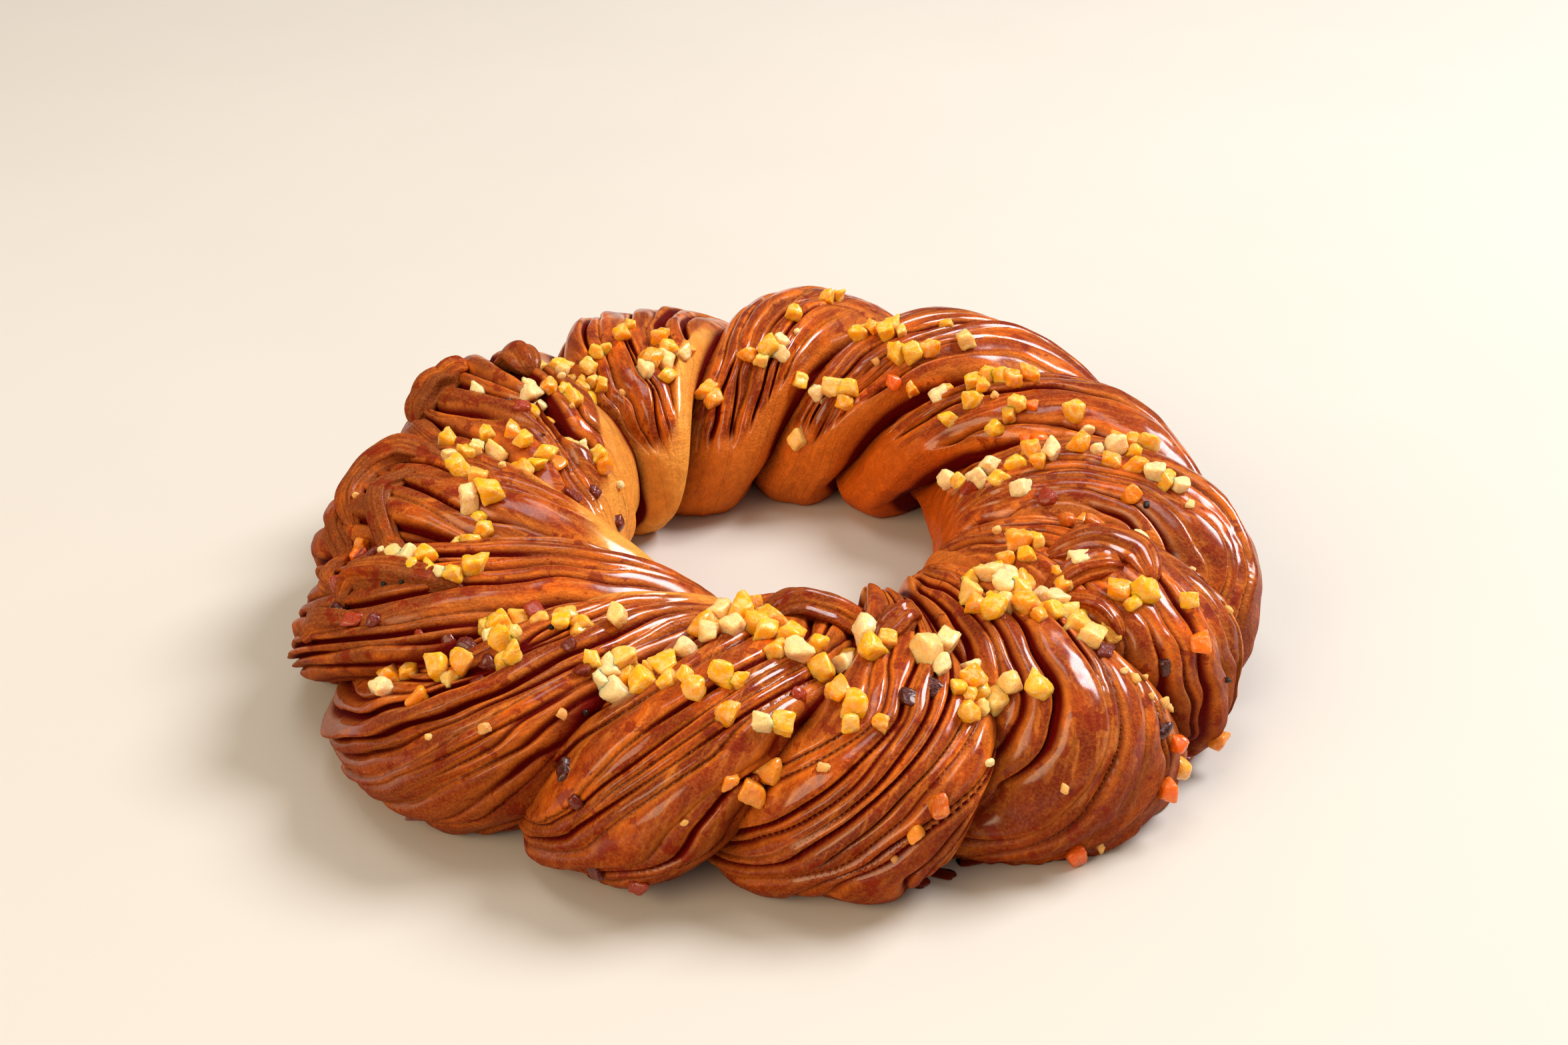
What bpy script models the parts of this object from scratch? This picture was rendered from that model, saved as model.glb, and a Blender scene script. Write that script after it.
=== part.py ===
"""A wreath-shaped kringle: two cut strands of layered dough twisted round each other into a
closed ring, baked on a flat base and scattered with diced candied peel.

Frame: metres, +Z up, origin at the centre of the box round the kringle, on its flat base.
The ring lies in the XY plane and its hole runs along Z. Azimuths run counterclockwise from +X.
Tube angles run round the ring's own section: 180 faces the hole, 90 is the crest, 0 is outside.
The dough and the peel are one solid, because they bake and stick together.
"""
import math
import random
from dataclasses import dataclass

import bpy
from mathutils import Vector
from mathutils.bvhtree import BVHTree

MM = 0.001

# Driving sizes of the ring, in metres.
RING_RADIUS = 98.0 * MM          # circle that the thickest part of the dough follows
DOUGH_HALF_WIDTH = 46.5 * MM     # from that circle to the outside, as a rule
DOUGH_HALF_HEIGHT = 38.5 * MM    # from the thickest level up to the crest, as a rule
THICKEST_LEVEL = 20.0 * MM       # height of the thickest level above the base
SECTION_POWER = 2.25             # 2 is an ellipse, and more is squarer
CORE_SCALE = 0.64                # dough under the lobes, as a share of the section
SHELL_SCALE = 0.45               # how deep each lobe reaches into the core
PLAIN_SHAPE = (56 * MM, 0.0, DOUGH_HALF_WIDTH, DOUGH_HALF_HEIGHT)

# Relief of the lobes.
SEAM_DEPTH = 0.29                # how far a lobe's edges sink, as a share of the section
SEAM_POWER = 3.0
LAP = 0.085                      # how far one edge of a lobe rides over its neighbour
FULL_WIDTH = 48.0 * MM           # a narrower lobe sinks and laps less, in proportion
LEAST_FULLNESS = 0.25
OVERREACH = 0.10                 # how far a lobe runs on under its neighbours
SEAM_ENDS = (-30.0, 205.0)       # tube angles past which a seam runs straight down
LEAF_DEPTH = 2.1 * MM            # depth of the cut layers at the crest
CRUST_START = 138.0              # tube angle at which the cut layers begin to fade
CRUST_END = 172.0                # tube angle from which the uncut crust is smooth

# Candied peel.
PEEL_SIZE = (4.6 * MM, 7.6 * MM)
PEEL_SINK = 0.24                 # share of a die's height that is in the dough
PEEL_GAP = 0.80                  # dice stand at least this share of their mean size apart
PEEL_FUSED = 72                 # the largest dice are in this solid


@dataclass(frozen=True)
class Seam:
    """Where two lobes meet: its azimuth at four tube angles, and how far it sags between the
    crest and the heel."""

    heel: float
    crest: float
    shoulder: float
    foot: float
    sag: float = 0.0

    ANGLES = (190.0, 95.0, 45.0, -20.0)

    def azimuth(self, tube):
        """Azimuth in degrees at a tube angle, as a smooth curve through the four."""
        crest, heel = self.ANGLES[1], self.ANGLES[0]
        inward = max(0.0, min(1.0, (tube - crest) / (heel - crest)))
        return self.curve(tube) - 4 * self.sag * inward * (1 - inward)

    def curve(self, tube):
        """The same curve before it sags."""
        xs = self.ANGLES
        ys = (self.heel, self.crest, self.shoulder, self.foot)
        slopes = [(ys[k + 1] - ys[k]) / (xs[k + 1] - xs[k]) for k in range(3)]
        ends = [slopes[0], (slopes[0] + slopes[1]) / 2, (slopes[1] + slopes[2]) / 2, slopes[2]]
        tube = max(SEAM_ENDS[0], min(SEAM_ENDS[1], tube))
        k = 0 if tube > xs[1] else 1 if tube > xs[2] else 2
        if tube > xs[0]:
            return ys[0] + ends[0] * (tube - xs[0])
        if tube < xs[3]:
            return ys[3] + ends[3] * (tube - xs[3])
        span = xs[k + 1] - xs[k]
        f = (tube - xs[k]) / span
        rise = (2 * f ** 3 - 3 * f ** 2 + 1) * ys[k] + (3 * f ** 2 - 2 * f ** 3) * ys[k + 1]
        bend = (f ** 3 - 2 * f ** 2 + f) * ends[k] + (f ** 3 - f ** 2) * ends[k + 1]
        return rise + bend * span


@dataclass(frozen=True)
class Lobe:
    """One turn of a strand, between its seam with the lobe before and its seam with the next."""

    name: str
    seam: Seam                   # its seam on the side of higher azimuth
    top: float                   # crest height in millimetres
    reach: float                 # how far it lies outside the ring circle, in millimetres
    half_width: float            # from its thickest part to the outside, in millimetres
    under: float                 # how far it would go down from its thickest level without a base
    leaves: tuple                # widths of its cut layers, in millimetres, by rising azimuth


LOBES = (
    Lobe("front_left", Seam(290, 262, 250, 242), 52, 8, 46, 30, (5, 7, 8, 8, 9, 7, 5)),
    Lobe("front", Seam(306, 288, 273, 263), 55, 6, 46, 27, (6, 11, 14, 8, 6)),
    Lobe("front_right", Seam(319, 293, 293, 288), 54, 8, 45, 27, (6, 10, 12, 8, 6)),
    Lobe("right_front", Seam(331, 301, 311, 322), 56, 11, 46, 37, (6, 7, 18, 7, 7, 6)),
    Lobe("right", Seam(346, 323, 331, 329), 56, 6, 46, 30, (7, 9, 7)),
    Lobe("right_back", Seam(400, 355, 348, 341, sag=10), 55, 3, 47, 28, (7, 8, 11, 9)),
    Lobe("back_right", Seam(418, 386, 371, 359), 54, 0, 39, 28, (7, 22, 12, 6)),
    Lobe("back_right_2", Seam(445, 424, 416, 404), 56, 2, 42, 28, (9, 7, 7, 8, 7, 8, 9)),
    Lobe("back", Seam(480, 460, 448, 438), 58, 2, 46, 28, (9, 7, 8, 8, 7, 8, 6)),
    Lobe("back_left", Seam(503, 503, 488, 478), 54, -3, 46, 28, (13, 7, 8, 8, 7, 9, 8)),
    Lobe("left_back", Seam(600, 543, 535, 527), 59, -10, 41, 30, (12, 7, 7, 8, 8, 7, 8, 9)),
    Lobe("left", Seam(616, 590, 565, 549), 54, -8, 43, 30, (13, 8, 8, 9, 7)),
    Lobe("left_front", Seam(634, 608, 592, 566), 52, 0, 46, 30, (7, 8, 8, 7)),
)

# Clusters of peel, as azimuth and tube angle of the middle and how many dice lie there.
PEEL_CLUSTERS = (
    # front left, from the outside in
    (223, 25, 3), (231, 46, 4), (238, 55, 2), (231, 67, 3), (236, 65, 3), (241, 80, 2),
    (248, 86, 1), (250, 68, 3), (254, 64, 4), (252, 58, 2), (257, 62, 1),
    # front
    (260, 79, 2), (261, 59, 2), (264, 61, 2), (263, 86, 3), (267, 88, 5), (271, 80, 3),
    (267, 48, 2), (270, 46, 1), (277, 80, 1), (279, 77, 2), (282, 78, 3), (278, 70, 1),
    (279, 55, 2), (279, 43, 2),
    # front right
    (291, 66, 2), (292, 57, 4), (293, 51, 2), (292, 45, 2), (295, 46, 3), (300, 81, 4),
    (303, 86, 3), (305, 79, 3), (303, 72, 2), (307, 74, 3), (309, 68, 4), (316, 78, 3),
    (310, 56, 2), (310, 98, 1), (315, 96, 3), (318, 92, 1), (309, 89, 2), (319, 59, 3),
    (324, 43, 1), (329, 74, 1),
    # right and back right
    (14, 159, 1), (5, 150, 1), (351, 132, 3), (342, 121, 1), (354, 116, 2), (352, 108, 2),
    (356, 92, 3), (353, 84, 3), (7, 77, 3), (0, 75, 3), (350, 72, 2), (349, 66, 2), (14, 89, 2),
    (21, 110, 2), (32, 135, 1), (21, 122, 1), (34, 101, 2), (30, 97, 2), (50, 126, 1),
    (44, 123, 2), (37, 114, 1), (32, 118, 3), (54, 110, 2), (57, 117, 1), (49, 92, 1),
    # back
    (68, 102, 3), (62, 101, 3), (55, 85, 1), (78, 80, 2), (84, 101, 1), (93, 126, 3),
    (89, 120, 2), (74, 140, 2), (69, 142, 2), (83, 137, 1), (108, 142, 2), (79, 168, 1),
    (117, 90, 1), (124, 102, 1), (129, 104, 2), (116, 108, 2), (112, 114, 2), (121, 123, 4),
    # left
    (140, 100, 1), (136, 106, 2), (138, 117, 4), (146, 103, 3), (159, 93, 1), (162, 106, 2),
    (159, 112, 3), (155, 118, 2), (166, 118, 2), (174, 95, 2), (175, 104, 2), (177, 112, 3),
    (183, 102, 2), (188, 95, 2), (186, 118, 1), (182, 124, 2), (170, 140, 3), (201, 106, 1),
    (202, 97, 2), (206, 96, 3), (213, 77, 1), (213, 70, 2), (211, 63, 1), (218, 75, 2),
    (221, 80, 2),
)

@dataclass(frozen=True)
class Roll:
    """A curled end of dough that lies on the twist."""

    route: tuple                 # azimuths and tube angles that it passes
    radius: float                # in millimetres
    rise: float = 0.35           # how far its middle lies above the dough, as a share of its radius


ROLLS = (
    Roll(((269, 94), (275, 98), (282, 102), (288, 104)), 5.6, rise=0.5),
    Roll(((284, 78), (288, 84), (291, 88)), 4.0),
    # the knobs and curls of the left back
    Roll(((161, 68), (154, 74), (150, 82)), 7.0),
    Roll(((150, 86), (149, 94), (154, 103)), 6.5),
    Roll(((163, 66), (169, 78), (177, 90)), 3.4),
    # the curled layers of the left
    Roll(((187, 86), (185, 72), (189, 60), (198, 56)), 6.2),
    Roll(((192, 78), (199, 71), (207, 68)), 4.6),
    Roll(((189, 58), (190, 45), (197, 38), (205, 44)), 4.2),
    Roll(((221, 67), (213, 55), (209, 42), (213, 31)), 5.2),
    Roll(((218, 32), (209, 20), (205, 30)), 3.8),
    # the torn tuft on the right
    Roll(((318, 90), (324, 82), (326, 69), (323, 57)), 4.4),
    Roll(((312, 80), (318, 77), (323, 69)), 3.2),
    Roll(((313, 76), (315, 61), (315, 45)), 3.4),
)
ROLL_STATIONS = 4
ROLL_SIDES = 5
ROLL_WIDTH = 1.25                # how much wider than high a roll is
ROLL_END = 0.5                   # a roll's radius at its blunt ends, as a share

ROWS = (-70, -36, -18, 2, 22, 42, 62, 82, 102, 122, 144, 168, 194, 222, 255)


def mix(low, high, share):
    """The value that share of the way from low to high."""
    return low + (high - low) * share


def smooth(value):
    """A smooth step from 0 at 0 to 1 at 1."""
    value = max(0.0, min(1.0, value))
    return value * value * (3 - 2 * value)


def power(value, exponent):
    """value to an exponent, keeping its sign."""
    return math.copysign(abs(value) ** exponent, value)


def section_point(azimuth, tube, scale, shape=PLAIN_SHAPE):
    """A point of the ring's section, scale times as far from its centre as the surface.

    shape holds the crest height, the reach beyond the ring circle, the half width, and how far
    the section would go down from its thickest level.
    """
    top, reach, half_width, under = shape
    a, t = math.radians(azimuth), math.radians(tube)
    across = power(math.cos(t), 2 / SECTION_POWER) * half_width * scale
    half_height = top - THICKEST_LEVEL if math.sin(t) > 0 else under
    up = power(math.sin(t), 2 / SECTION_POWER) * half_height * scale
    radius = RING_RADIUS + across + reach
    return Vector((radius * math.cos(a), radius * math.sin(a), THICKEST_LEVEL + up))


def shape_at(index, share):
    """The section's shape at a place across a lobe, easing into its neighbour's."""
    lobe = LOBES[index]
    other = LOBES[(index + (1 if share > 0.5 else -1)) % len(LOBES)]
    near = 0.5 * smooth(abs(2 * share - 1))
    own = (lobe.top, lobe.reach, lobe.half_width, lobe.under)
    next_to_it = (other.top, other.reach, other.half_width, other.under)
    return tuple(mix(a, b, near) * MM for a, b in zip(own, next_to_it))


def columns_of(lobe):
    """Places across a lobe, as (share, depth): a valley at each cut and a crest on each layer."""
    total = sum(lobe.leaves)
    places, start = [(-OVERREACH, 1.0), (0.0, 1.0)], 0.0
    for width in lobe.leaves:
        share = width / total
        size = min(1.0, 0.45 + width / 14)
        places.append((start + share * 0.42, 1.0 - size))
        start += share
        places.append((start, 1.0))
    return places + [(1 + OVERREACH, 1.0)]


def lobe_points(index, tube):
    """One closed ring of points round a lobe at a tube angle."""
    lobe = LOBES[index]
    before = LOBES[index - 1].seam.azimuth(tube) - (360 if index == 0 else 0)
    after = lobe.seam.azimuth(tube)
    cut = 1 - smooth((tube - CRUST_START) / (CRUST_END - CRUST_START))
    lap = LAP * math.cos(math.radians(tube))
    width = math.radians(after - before) * RING_RADIUS
    fullness = max(LEAST_FULLNESS, min(1.0, width / FULL_WIDTH))
    ring = []
    for share, depth in columns_of(lobe):
        side = 2 * share - 1
        scale = 1 - fullness * (SEAM_DEPTH * abs(side) ** SEAM_POWER - lap * side)
        scale -= cut * depth * LEAF_DEPTH / DOUGH_HALF_HEIGHT
        ring.append(section_point(mix(before, after, share), tube, scale, shape_at(index, share)))
    for share in (1 + OVERREACH, 0.75, 0.5, 0.25, -OVERREACH):
        azimuth = mix(before, after, share)
        ring.append(section_point(azimuth, tube, SHELL_SCALE, shape_at(index, share)))
    return ring


def mesh_object(name, points, faces):
    """A mesh object made from points and faces, with its normals turned outward."""
    mesh = bpy.data.meshes.new(name)
    mesh.from_pydata([tuple(p) for p in points], [], faces)
    mesh.update()
    made = bpy.data.objects.new(name, mesh)
    bpy.context.scene.collection.objects.link(made)
    volume = sum(
        (a.cross(b)).dot(c) / 6
        for tri in triangles_of(mesh)
        for a, b, c in [[mesh.vertices[i].co for i in tri]]
    )
    if volume < 0:
        mesh.flip_normals()
    return made


def triangles_of(mesh):
    """The vertex indices of every triangle of a mesh."""
    mesh.calc_loop_triangles()
    return [tuple(tri.vertices) for tri in mesh.loop_triangles]


def tube_solid(name, rings, closed=False):
    """A solid through rings of equal size. An open one gets a fan of triangles at each end."""
    size = len(rings[0])
    points = [p for ring in rings for p in ring]
    faces = []
    spans = len(rings) if closed else len(rings) - 1
    for i in range(spans):
        near, far = i * size, ((i + 1) % len(rings)) * size
        for j in range(size):
            k = (j + 1) % size
            faces.append((near + j, near + k, far + k))
            faces.append((near + j, far + k, far + j))
    if not closed:
        for start, ring, turn in ((0, rings[0], 1), (spans * size, rings[-1], -1)):
            points.append(sum(ring, Vector()) / size)
            middle = len(points) - 1
            for j in range(size):
                edge = (start + (j + 1) % size, start + j)
                faces.append((middle,) + edge[::turn])
    return mesh_object(name, points, faces)


def make_lobe(index):
    """One lobe of the twist, as a closed shell that overlaps its neighbours and the core."""
    return tube_solid("lobe_" + LOBES[index].name, [lobe_points(index, t) for t in ROWS])


def make_core():
    """The dough under the lobes, which shows only at the bottom of the deepest seams."""
    rings = []
    for azimuth in range(0, 360, 12):
        ring = []
        for tube in range(0, 360, 30):
            ring.append(section_point(azimuth, tube, CORE_SCALE))
        rings.append(ring)
    return tube_solid("core", rings, closed=True)


def stations(roll):
    """Places along a roll's route, as azimuth and tube angle."""
    places = []
    for step in range(ROLL_STATIONS):
        at = step / (ROLL_STATIONS - 1) * (len(roll.route) - 1)
        k = min(int(at), len(roll.route) - 2)
        places.append([mix(a, b, at - k) for a, b in zip(roll.route[k], roll.route[k + 1])])
    return places


def make_roll(roll, tree):
    """A curled end of dough, as a blunt tube along the surface under its route."""
    line = []
    upward = []
    for azimuth, tube in stations(roll):
        hit, _, outward = surface_at(tree, azimuth, tube)
        line.append(hit + outward * roll.radius * roll.rise * MM)
        upward.append(outward)
    rings = []
    for k, centre in enumerate(line):
        ahead = (line[min(k + 1, len(line) - 1)] - line[max(k - 1, 0)]).normalized()
        sideways = ahead.cross(upward[k]).normalized()
        up = sideways.cross(ahead)
        radius = roll.radius * MM * (1.0 if 0 < k < len(line) - 1 else ROLL_END)
        ring = []
        for turn in range(ROLL_SIDES):
            angle = math.tau * turn / ROLL_SIDES
            offset = sideways * math.cos(angle) * ROLL_WIDTH + up * math.sin(angle)
            ring.append(centre + offset * radius)
        rings.append(ring)
    return tube_solid("roll", rings)


def joined(target, others, solver="MANIFOLD"):
    """Unites other objects with the target in one Boolean, and removes them."""
    collection = bpy.data.collections.new("joined")
    for other in others:
        collection.objects.link(other)
    modifier = target.modifiers.new("join", "BOOLEAN")
    modifier.operation = "UNION"
    modifier.operand_type = "COLLECTION"
    modifier.collection = collection
    modifier.solver = solver
    apply_modifiers(target)
    for other in others:
        bpy.data.objects.remove(other)
    bpy.data.collections.remove(collection)
    return target


def apply_modifiers(target):
    """Replaces an object's mesh by what its modifiers make of it."""
    graph = bpy.context.evaluated_depsgraph_get()
    mesh = bpy.data.meshes.new_from_object(target.evaluated_get(graph))
    target.modifiers.clear()
    target.data = mesh


def box_object(name, low, high):
    """A closed box between two corners."""
    points = [Vector((x, y, z)) for x in (low[0], high[0]) for y in (low[1], high[1])
              for z in (low[2], high[2])]
    faces = [(0, 1, 3, 2), (4, 6, 7, 5), (0, 4, 5, 1), (2, 3, 7, 6), (0, 2, 6, 4), (1, 5, 7, 3)]
    return mesh_object(name, points, faces)


def cut_base(target):
    """Cuts off all that lies under the base, so the kringle stands flat."""
    cutter = box_object("below", (-0.2, -0.2, -0.06), (0.2, 0.2, 0.0))
    modifier = target.modifiers.new("cut", "BOOLEAN")
    modifier.operation = "DIFFERENCE"
    modifier.object = cutter
    modifier.solver = "MANIFOLD"
    apply_modifiers(target)
    bpy.data.objects.remove(cutter)


def keep_largest_shell(target):
    """Drops every loose scrap and every hollow, and keeps the outer shell."""
    mesh = target.data
    leader = list(range(len(mesh.polygons)))

    def root(i):
        while leader[i] != i:
            leader[i] = leader[leader[i]]
            i = leader[i]
        return i

    first_at = {}
    for face in mesh.polygons:
        for edge in face.edge_keys:
            other = first_at.setdefault(edge, face.index)
            leader[root(face.index)] = root(other)
    sizes = {}
    for i in range(len(leader)):
        sizes[root(i)] = sizes.get(root(i), 0) + 1
    best = max(sizes, key=sizes.get)
    index = {}
    points = []
    faces = []
    for face in mesh.polygons:
        if root(face.index) != best:
            continue
        for v in face.vertices:
            if v not in index:
                index[v] = len(points)
                points.append(mesh.vertices[v].co.copy())
        faces.append(tuple(index[v] for v in face.vertices))
    made = mesh_object("kept", points, faces)
    target.data = made.data
    bpy.data.objects.remove(made)


def random_die(rng, size, centre, up):
    """An uneven cube of peel that stands on the surface with up as its upright direction."""
    side = up.orthogonal().normalized()
    turn = rng.uniform(0, math.tau)
    along = (side * math.cos(turn) + up.cross(side) * math.sin(turn)).normalized()
    lean = (up + along * rng.uniform(-0.45, 0.45)).normalized()
    across = lean.cross(along).normalized()
    along = across.cross(lean).normalized()
    half = [size / 2 * rng.uniform(0.8, 1.15) for _ in range(3)]
    points = []
    for x in (-1, 1):
        for y in (-1, 1):
            for z in (-1, 1):
                jitter = [rng.uniform(0.74, 1.0) for _ in range(3)]
                points.append(centre + along * x * half[0] * jitter[0]
                              + across * y * half[1] * jitter[1]
                              + lean * z * half[2] * jitter[2])
    faces = [(0, 1, 3, 2), (4, 6, 7, 5), (0, 4, 5, 1), (2, 3, 7, 6), (0, 2, 6, 4), (1, 5, 7, 3)]
    return mesh_object("die", points, faces)


def surface_tree(target):
    """A search tree of an object's faces."""
    return BVHTree.FromPolygons([v.co for v in target.data.vertices],
                                [tuple(p.vertices) for p in target.data.polygons])


def surface_at(tree, azimuth, tube):
    """Where the dough's surface is at a place: the point, its normal, and the way outward.

    Returns None where the line from outside misses the dough.
    """
    outer = section_point(azimuth, tube, 1.5)
    inner = section_point(azimuth, tube, 0.4)
    hit, normal, _, _ = tree.ray_cast(outer, (inner - outer).normalized())
    return None if hit is None else (hit, normal, (outer - inner).normalized())


def peel_places():
    """Every die as (azimuth, tube angle, size, seed), scattered round the clusters above."""
    rng = random.Random(41)
    placed = []
    for azimuth, tube, count in PEEL_CLUSTERS:
        for _ in range(count):
            size = rng.uniform(*PEEL_SIZE)
            for attempt in range(40):
                reach = (1.5 + 2.4 * math.sqrt(count) + 0.12 * attempt) * MM * math.sqrt(rng.random())
                angle = rng.uniform(0, math.tau)
                a = azimuth + math.degrees(reach * math.cos(angle) / RING_RADIUS)
                t = tube + math.degrees(reach * math.sin(angle) / DOUGH_HALF_WIDTH)
                place = section_point(a, t, 1.0)
                if all((place - p).length > PEEL_GAP * (size + other[2]) / 2 for p, other in placed):
                    break
            placed.append((place, (a, t, size, len(placed))))
    return [entry for _, entry in placed]


def make_peel(tree):
    """The larger dice of peel, each standing on the dough where it was dropped."""
    dice = []
    largest = sorted(peel_places(), key=lambda entry: -entry[2])[:PEEL_FUSED]
    for azimuth, tube, size, seed in largest:
        found = surface_at(tree, azimuth, tube)
        if found is None:
            continue
        hit, normal, outward = found
        up = (normal + outward * 1.5 + Vector((0, 0, 0.6))).normalized()
        centre = hit + up * size * (0.5 - PEEL_SINK)
        dice.append(random_die(random.Random(seed), size, centre, up))
    return dice


def centre_on_origin(target):
    """Moves the mesh so its box is centred on the Z axis and stands on the base."""
    xs = [v.co.x for v in target.data.vertices]
    ys = [v.co.y for v in target.data.vertices]
    zs = [v.co.z for v in target.data.vertices]
    shift = Vector(((min(xs) + max(xs)) / 2, (min(ys) + max(ys)) / 2, min(zs)))
    for vertex in target.data.vertices:
        vertex.co -= shift
    print("centred by", [round(v / MM, 2) for v in shift])


def baked_dough():
    """The brown crust of the dough."""
    material = bpy.data.materials.new("baked_dough")
    material.use_nodes = True
    shader = material.node_tree.nodes["Principled BSDF"]
    shader.inputs["Base Color"].default_value = (0.34, 0.11, 0.035, 1)
    shader.inputs["Roughness"].default_value = 0.4
    return material


def main():
    for old in list(bpy.data.objects):
        bpy.data.objects.remove(old)
    kringle = make_core()
    joined(kringle, [make_lobe(i) for i in range(len(LOBES))])
    cut_base(kringle)
    keep_largest_shell(kringle)
    print("dough", len(triangles_of(kringle.data)))
    tree = surface_tree(kringle)
    joined(kringle, [make_roll(roll, tree) for roll in ROLLS])
    keep_largest_shell(kringle)
    print("with rolls", len(triangles_of(kringle.data)))
    joined(kringle, make_peel(surface_tree(kringle)))
    keep_largest_shell(kringle)
    centre_on_origin(kringle)
    kringle.name = "kringle"
    kringle.data.name = "kringle"
    kringle.data.materials.clear()
    kringle.data.materials.append(baked_dough())
    print("triangles", len(triangles_of(kringle.data)))


main()
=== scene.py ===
"""A wreath-shaped kringle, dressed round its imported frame: twisted strands of layered dough under
a syrup glaze, diced candied peel, fruit from the filling, and a pale table.

Frame: metres, +Z up, the kringle's box centred on the Z axis with its base at Z = 0.
Azimuths run counterclockwise from +X. Tube angles run round the ring's own section: 180 faces the
hole, 90 is the crest and 0 is the outside.
"""
import logging
import math
import random
from dataclasses import dataclass, field
from enum import Enum, IntEnum

import bpy
import numpy as np
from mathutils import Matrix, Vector
from mathutils.bvhtree import BVHTree


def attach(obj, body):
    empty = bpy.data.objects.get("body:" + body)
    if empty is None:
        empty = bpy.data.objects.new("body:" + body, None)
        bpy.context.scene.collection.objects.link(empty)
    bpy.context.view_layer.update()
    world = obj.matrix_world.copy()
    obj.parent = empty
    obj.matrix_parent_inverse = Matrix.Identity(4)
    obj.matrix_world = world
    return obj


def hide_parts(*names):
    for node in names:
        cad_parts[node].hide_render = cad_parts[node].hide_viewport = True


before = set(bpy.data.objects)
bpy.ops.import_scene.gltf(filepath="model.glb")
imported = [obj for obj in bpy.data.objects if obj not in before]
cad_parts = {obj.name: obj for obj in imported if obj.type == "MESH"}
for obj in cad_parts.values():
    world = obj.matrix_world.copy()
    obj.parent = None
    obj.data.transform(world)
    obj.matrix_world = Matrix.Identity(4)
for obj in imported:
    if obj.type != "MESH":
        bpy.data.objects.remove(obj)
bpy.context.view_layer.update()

NODE = "kringle"
BODY = "root"
MM = 0.001
RING_CENTRE = (-1.72 * MM, 5.10 * MM)

log = logging.getLogger("kringle")
Pair = tuple[float, float]
Triple = tuple[float, float, float]
Colour = Triple
Array = np.ndarray
Object = bpy.types.Object
Material = bpy.types.Material
Tree = bpy.types.NodeTree
Node = bpy.types.Node
Socket = bpy.types.NodeSocket


def mix(low: float, high: float, share: float) -> float:
    """The value that share of the way from low to high."""
    return low + (high - low) * share


def smooth(value: Array | float) -> Array:
    """A smooth step from 0 at 0 to 1 at 1."""
    value = np.clip(value, 0.0, 1.0)
    return value * value * (3 - 2 * value)


def power(value: Array, exponent: float) -> Array:
    """value to an exponent, keeping its sign."""
    return np.sign(value) * np.abs(value) ** exponent


def ramp(value: Array, start: float, stop: float) -> Array:
    """A smooth step from 0 where value is start to 1 where it is stop."""
    return smooth((value - start) / (stop - start))


def above_table(points: Array) -> Array:
    """Points with none of them below the table."""
    points[..., 2] = np.maximum(points[..., 2], 0.0)
    return points


def drift(x: Array, y: Array, seed: int) -> Array:
    """Smooth random values between -1 and 1 over a plane.

    Args:
        x: first coordinate, where the values change over about one unit.
        y: second coordinate, likewise.
        seed: which set of values.

    Returns:
        The values, in the shape that x and y share.
    """
    table = np.random.default_rng(seed).uniform(-1, 1, (61, 61))
    x, y = np.broadcast_arrays(np.asarray(x, float), np.asarray(y, float))
    i, j = np.floor(x).astype(int), np.floor(y).astype(int)
    u, v = smooth(x - i), smooth(y - j)
    near = table[i % 61, j % 61] * (1 - u) + table[(i + 1) % 61, j % 61] * u
    far = table[i % 61, (j + 1) % 61] * (1 - u) + table[(i + 1) % 61, (j + 1) % 61] * u
    return near * (1 - v) + far * v


@dataclass(frozen=True)
class Shape:
    """The ring's section at a place.

    It holds the crest's height, the reach past the ring circle, the half width, and how far the
    section would go down from its thickest level if the base didn't cut it off.
    """

    top: Array
    reach: Array
    half_width: Array
    under: Array


@dataclass(frozen=True)
class Section:
    """The section that the ring has all round, and where the ring stands."""

    ring_radius: float = 98.0 * MM
    half_height: float = 38.5 * MM
    level: float = 20.0 * MM
    squareness: float = 2.25
    centre: Pair = RING_CENTRE
    usual_top: float = 56.0 * MM
    usual_half_width: float = 46.5 * MM

    def usual(self, reach: float) -> Shape:
        """The usual shape, that far past the ring circle."""
        return Shape(self.usual_top, reach, self.usual_half_width, self.half_height)

    def points(self, azimuth: Array, tube: Array, scale: Array,
               shape: Shape) -> Array:
        """Points of the section.

        Args:
            azimuth: degrees round the ring.
            tube: degrees round the section.
            scale: distance from the section's centre, as a share of the surface's.
            shape: the section's sizes there, in metres.

        Returns:
            One point for each place, in the last axis.
        """
        a, t = np.radians(azimuth), np.radians(tube)
        across = power(np.cos(t), 2 / self.squareness) * shape.half_width * scale
        half_height = np.where(np.sin(t) > 0, shape.top - self.level, shape.under)
        up = power(np.sin(t), 2 / self.squareness) * half_height * scale
        radius = self.ring_radius + across + shape.reach
        x = radius * np.cos(a) + self.centre[0]
        y = radius * np.sin(a) + self.centre[1]
        return np.stack(np.broadcast_arrays(x, y, self.level + up), axis=-1)

    def plain_point(self, azimuth: float, tube: float, scale: float) -> Vector:
        """A point of the section in its usual shape."""
        return Vector(self.points(azimuth, tube, scale, self.usual(0.0)))


# Tube angles of the four places that a seam is given at, and how far it runs on past them.
SEAM_STOPS = (190.0, 95.0, 45.0, -20.0)
SEAM_ENDS = (-30.0, 205.0)


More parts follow.
